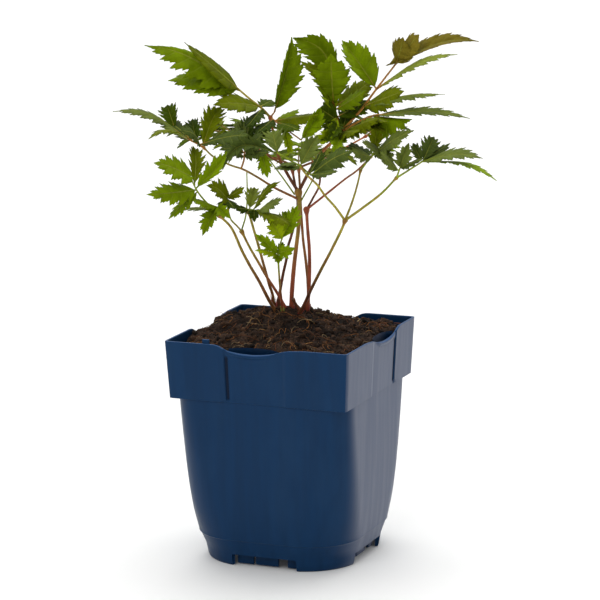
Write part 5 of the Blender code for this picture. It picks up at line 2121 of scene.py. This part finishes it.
    def cord(self, bark: Colour) -> Shell:
        """Makes the blade's midrib as a fine rod that runs on into its stalk.

        Args:
            bark: The tint of the twig that it leaves.

        Returns:
            The midrib.
        """
        reach = self.span().length
        thick = 0.28 + 0.005 * reach
        path, radii = [], []
        for k in range(self.cord_rows + 1):
            share = 0.93 * k / self.cord_rows
            point, out, _ = self.rib(share)
            path.append(point - out * 0.12)
            radii.append(thick * (1 - 0.8 * share))
        bm = rod(path, radii, 6)
        leafy = between(self.cord_leaf, self.tint, 0.35)

        def colour(vert: Vert) -> Colour:
            """Gives a point's tint by its way along the midrib."""
            return between(bark, leafy, smooth((vert.co / MM - self.base).length / reach, 0.02, 0.3))

        set_tint(bm, colour)
        return bm


@dataclass
class Foliage:
    """All leaf sprays: twigs, midribs and blades, joined kind by kind."""

    limbs: Limbs
    wall: float = 0.2
    upper: LeafSkin = LeafSkin("blade_upper", 0.5, 0.0, 0.16)
    under: LeafSkin = LeafSkin("blade_under", 0.62, 0.16, 0.12)
    twig_skin: Stalk = Stalk("twig_skin", 0.5, Grain(900.0, 0.00005, LENGTHWISE))
    shoot_girth: float = 0.8
    # Lobes on each half of a blade that is longer than so many millimetres
    lobes: Rows = ((34.0, 7), (24.0, 6), (14.0, 5), (0.0, 4))
    first_seed: int = 101

    def way_of(self, spray: Spray) -> list[Vector]:
        """Gives the places that a spray's twig runs through, from the place on its limb on."""
        limb = self.limbs.grown[spray.start[0]]
        start = limb.end
        if spray.start[1] != 1:
            path = limb.path()
            start = path[round(spray.start[1] * (len(path) - 1))]
        return [start, *crown_way(spray.way)]

    def twig(self, way: Sequence[Vector], girth: float, bark: Colour) -> Shell:
        """Makes a twig through some places.

        Args:
            way: The places.
            girth: Its girth at its foot.
            bark: Its tint.

        Returns:
            The twig.
        """
        path = along_curve(way, 1.2)
        count = len(path) - 1
        bm = rod(path, [girth / 2 * (1 - 0.3 * k / count) for k in range(count + 1)], 8, ridges=0.04)
        set_tint(bm, bark)
        return bm

    def build(self) -> list[Thing]:
        """Grows every spray and puts it in place of its mass.

        Returns:
            The pieces.
        """
        tips = {limb.name: Vector(limb.way[-1]) for limb in STEMS + BOUGHS}
        sprays = [*SPRAYS, *BackHabit().grow(tips)]
        faces = [self.upper.build(), self.under.build()]
        twigs = Piece("twigs", "stalks", (), [self.twig_skin.build()])
        blades = {}
        for crop in Crop:
            names = tuple(spray.name for spray in sprays if spray.crop is crop)
            slot = "young_leaves" if crop is Crop.YOUNG else "leaves"
            blades[crop] = Piece(f"blades_{crop.value}", slot, names, faces)
        for shoot in SHOOT_WAYS:
            twigs.add(self.twig(crown_way(shoot), self.shoot_girth, BARK_GREEN))
        seed = self.first_seed
        for spray in sprays:
            way = self.way_of(spray)
            bark = between(spray.bark, BARK_GREEN, 0.2)
            twigs.add(self.twig(way, spray.girth, bark))
            for leaf in spray.leaflets:
                base = through(way, leaf.place)
                reach = (crown(*leaf.tip) - base).length
                lobes = next(count for least, count in self.lobes if reach > least)
                blade = Blade(base, leaf, (leaf.tone or spray.tone).value, seed, lobes)
                blades[spray.crop].add(blade.mesh())
                twigs.add(blade.cord(bark))
                seed += 1
        made = [blades[crop].finish(thickness=self.wall) for crop in Crop]
        return [*made, twigs.finish()]


# Studio


@dataclass
class Studio:
    """Pale floor, soft light and the camera that looks down on the pot's front right corner."""

    turn: float = CROWN_TURN
    rise: float = 11.5
    roll: float = 0.6
    distance: float = 1393.2
    target: float = 119.41
    aside: float = 3.96
    lens: float = 180.0
    floor_half: float = 3000.0
    back_light: float = 0.75
    front_light: float = 0.5
    top_light: float = 0.1
    high_light: float = 1.8
    high_spread: float = 55.0
    high_place: Place = (60.0, -380.0, 900.0)
    box_power: float = 2.0
    box_size: float = 500.0
    box_place: Place = (-300.0, 700.0, 700.0)
    box_target: Place = (0.0, 0.0, 150.0)
    white: Colour = (1.0, 1.0, 1.0, 1.0)

    def build(self) -> None:
        """Sets the floor, the light and the camera."""
        self.set_floor()
        self.set_world()
        self.set_lamps()
        self.set_camera()
        bpy.context.scene.view_settings.view_transform = "Standard"

    def set_floor(self) -> None:
        """Lays the floor."""
        bm = bmesh.new()
        bmesh.ops.create_grid(bm, x_segments=8, y_segments=8, size=self.floor_half * MM)
        mesh = bpy.data.meshes.new("floor")
        bm.to_mesh(mesh)
        bm.free()
        mesh.materials.append(FloorFinish().build())
        put("floor", mesh)

    def set_world(self) -> None:
        """Lights the scene from all round: bright behind and above, dimmer from the camera's side."""
        world = bpy.data.worlds.new("studio")
        world.use_nodes = True
        bpy.context.scene.world = world
        wires = Wiring(world.node_tree)
        plain = world.node_tree.nodes["Background"]
        wires.fill(plain, {"Color": self.white, "Strength": 1.0})
        way = wires.node("ShaderNodeTexCoord").outputs["Generated"]
        inputs = {0: way, 1: crown(0.0, 1.0, 0.0)}
        toward = wires.node("ShaderNodeVectorMath", inputs, operation="DOT_PRODUCT").outputs["Value"]
        level = wires.ease(toward, -0.7, 0.8, self.back_light, self.front_light)
        high = wires.ease(wires.part(way, "Z"), 0.1, 0.9, 0.0, self.top_light)
        strength = wires.maths("ADD", level, high)
        lit = wires.node("ShaderNodeBackground", {"Color": self.white, "Strength": strength})
        seen = wires.node("ShaderNodeLightPath").outputs["Is Camera Ray"]
        mix = wires.node("ShaderNodeMixShader", {0: seen, 1: lit.outputs[0], 2: plain.outputs[0]})
        out = next(node for node in world.node_tree.nodes if node.type == "OUTPUT_WORLD")
        wires.fill(out, {"Surface": mix.outputs[0]})

    def set_lamps(self) -> None:
        """Hangs the high soft light behind the plant and the soft box before it."""
        data = bpy.data.lights.new("high_light", "SUN")
        data.energy = self.high_light
        data.angle = math.radians(self.high_spread)
        lamp = put("high_light", data)
        lamp.rotation_euler = crown(*self.high_place).to_track_quat("Z", "Y").to_euler()
        data = bpy.data.lights.new("soft_box", "AREA")
        data.energy = self.box_power
        data.shape = "SQUARE"
        data.size = self.box_size * MM
        place = crown(*self.box_place)
        lamp = put("soft_box", data)
        lamp.location = place * MM
        aim = place - crown(*self.box_target)
        lamp.rotation_euler = aim.to_track_quat("Z", "Y").to_euler()

    def set_camera(self) -> None:
        """Sets the camera at the photograph's viewing angle."""
        turn, rise, roll = (math.radians(value) for value in (self.turn, self.rise, self.roll))
        level = math.cos(rise)
        back = Vector((math.sin(turn) * level, -math.cos(turn) * level, math.sin(rise)))
        right = Vector((math.cos(turn), math.sin(turn), 0.0))
        up = back.cross(right)
        across = right * math.cos(roll) - up * math.sin(roll)
        upward = right * math.sin(roll) + up * math.cos(roll)
        eye = Vector((0.0, 0.0, self.target)) + right * self.aside + back * self.distance
        data = bpy.data.cameras.new("camera")
        data.lens = self.lens
        data.sensor_width = 36.0
        data.clip_end = 50.0
        camera = put("camera", data)
        matrix = Matrix((across, upward, back)).transposed().to_4x4()
        matrix.translation = eye * MM
        camera.matrix_world = matrix
        bpy.context.scene.camera = camera


def main() -> None:
    """Builds every part of the model in order."""
    logging.basicConfig(level=logging.INFO, format="%(message)s")
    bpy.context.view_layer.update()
    pot = Pot()
    soil = Soil(pot)
    limbs = Limbs()
    made = [pot.build(), soil.build(), *limbs.build(), *Foliage(limbs).build()]
    Studio().build()
    log.info("%d pieces", len(made))


if __name__ == "__main__":
    main()
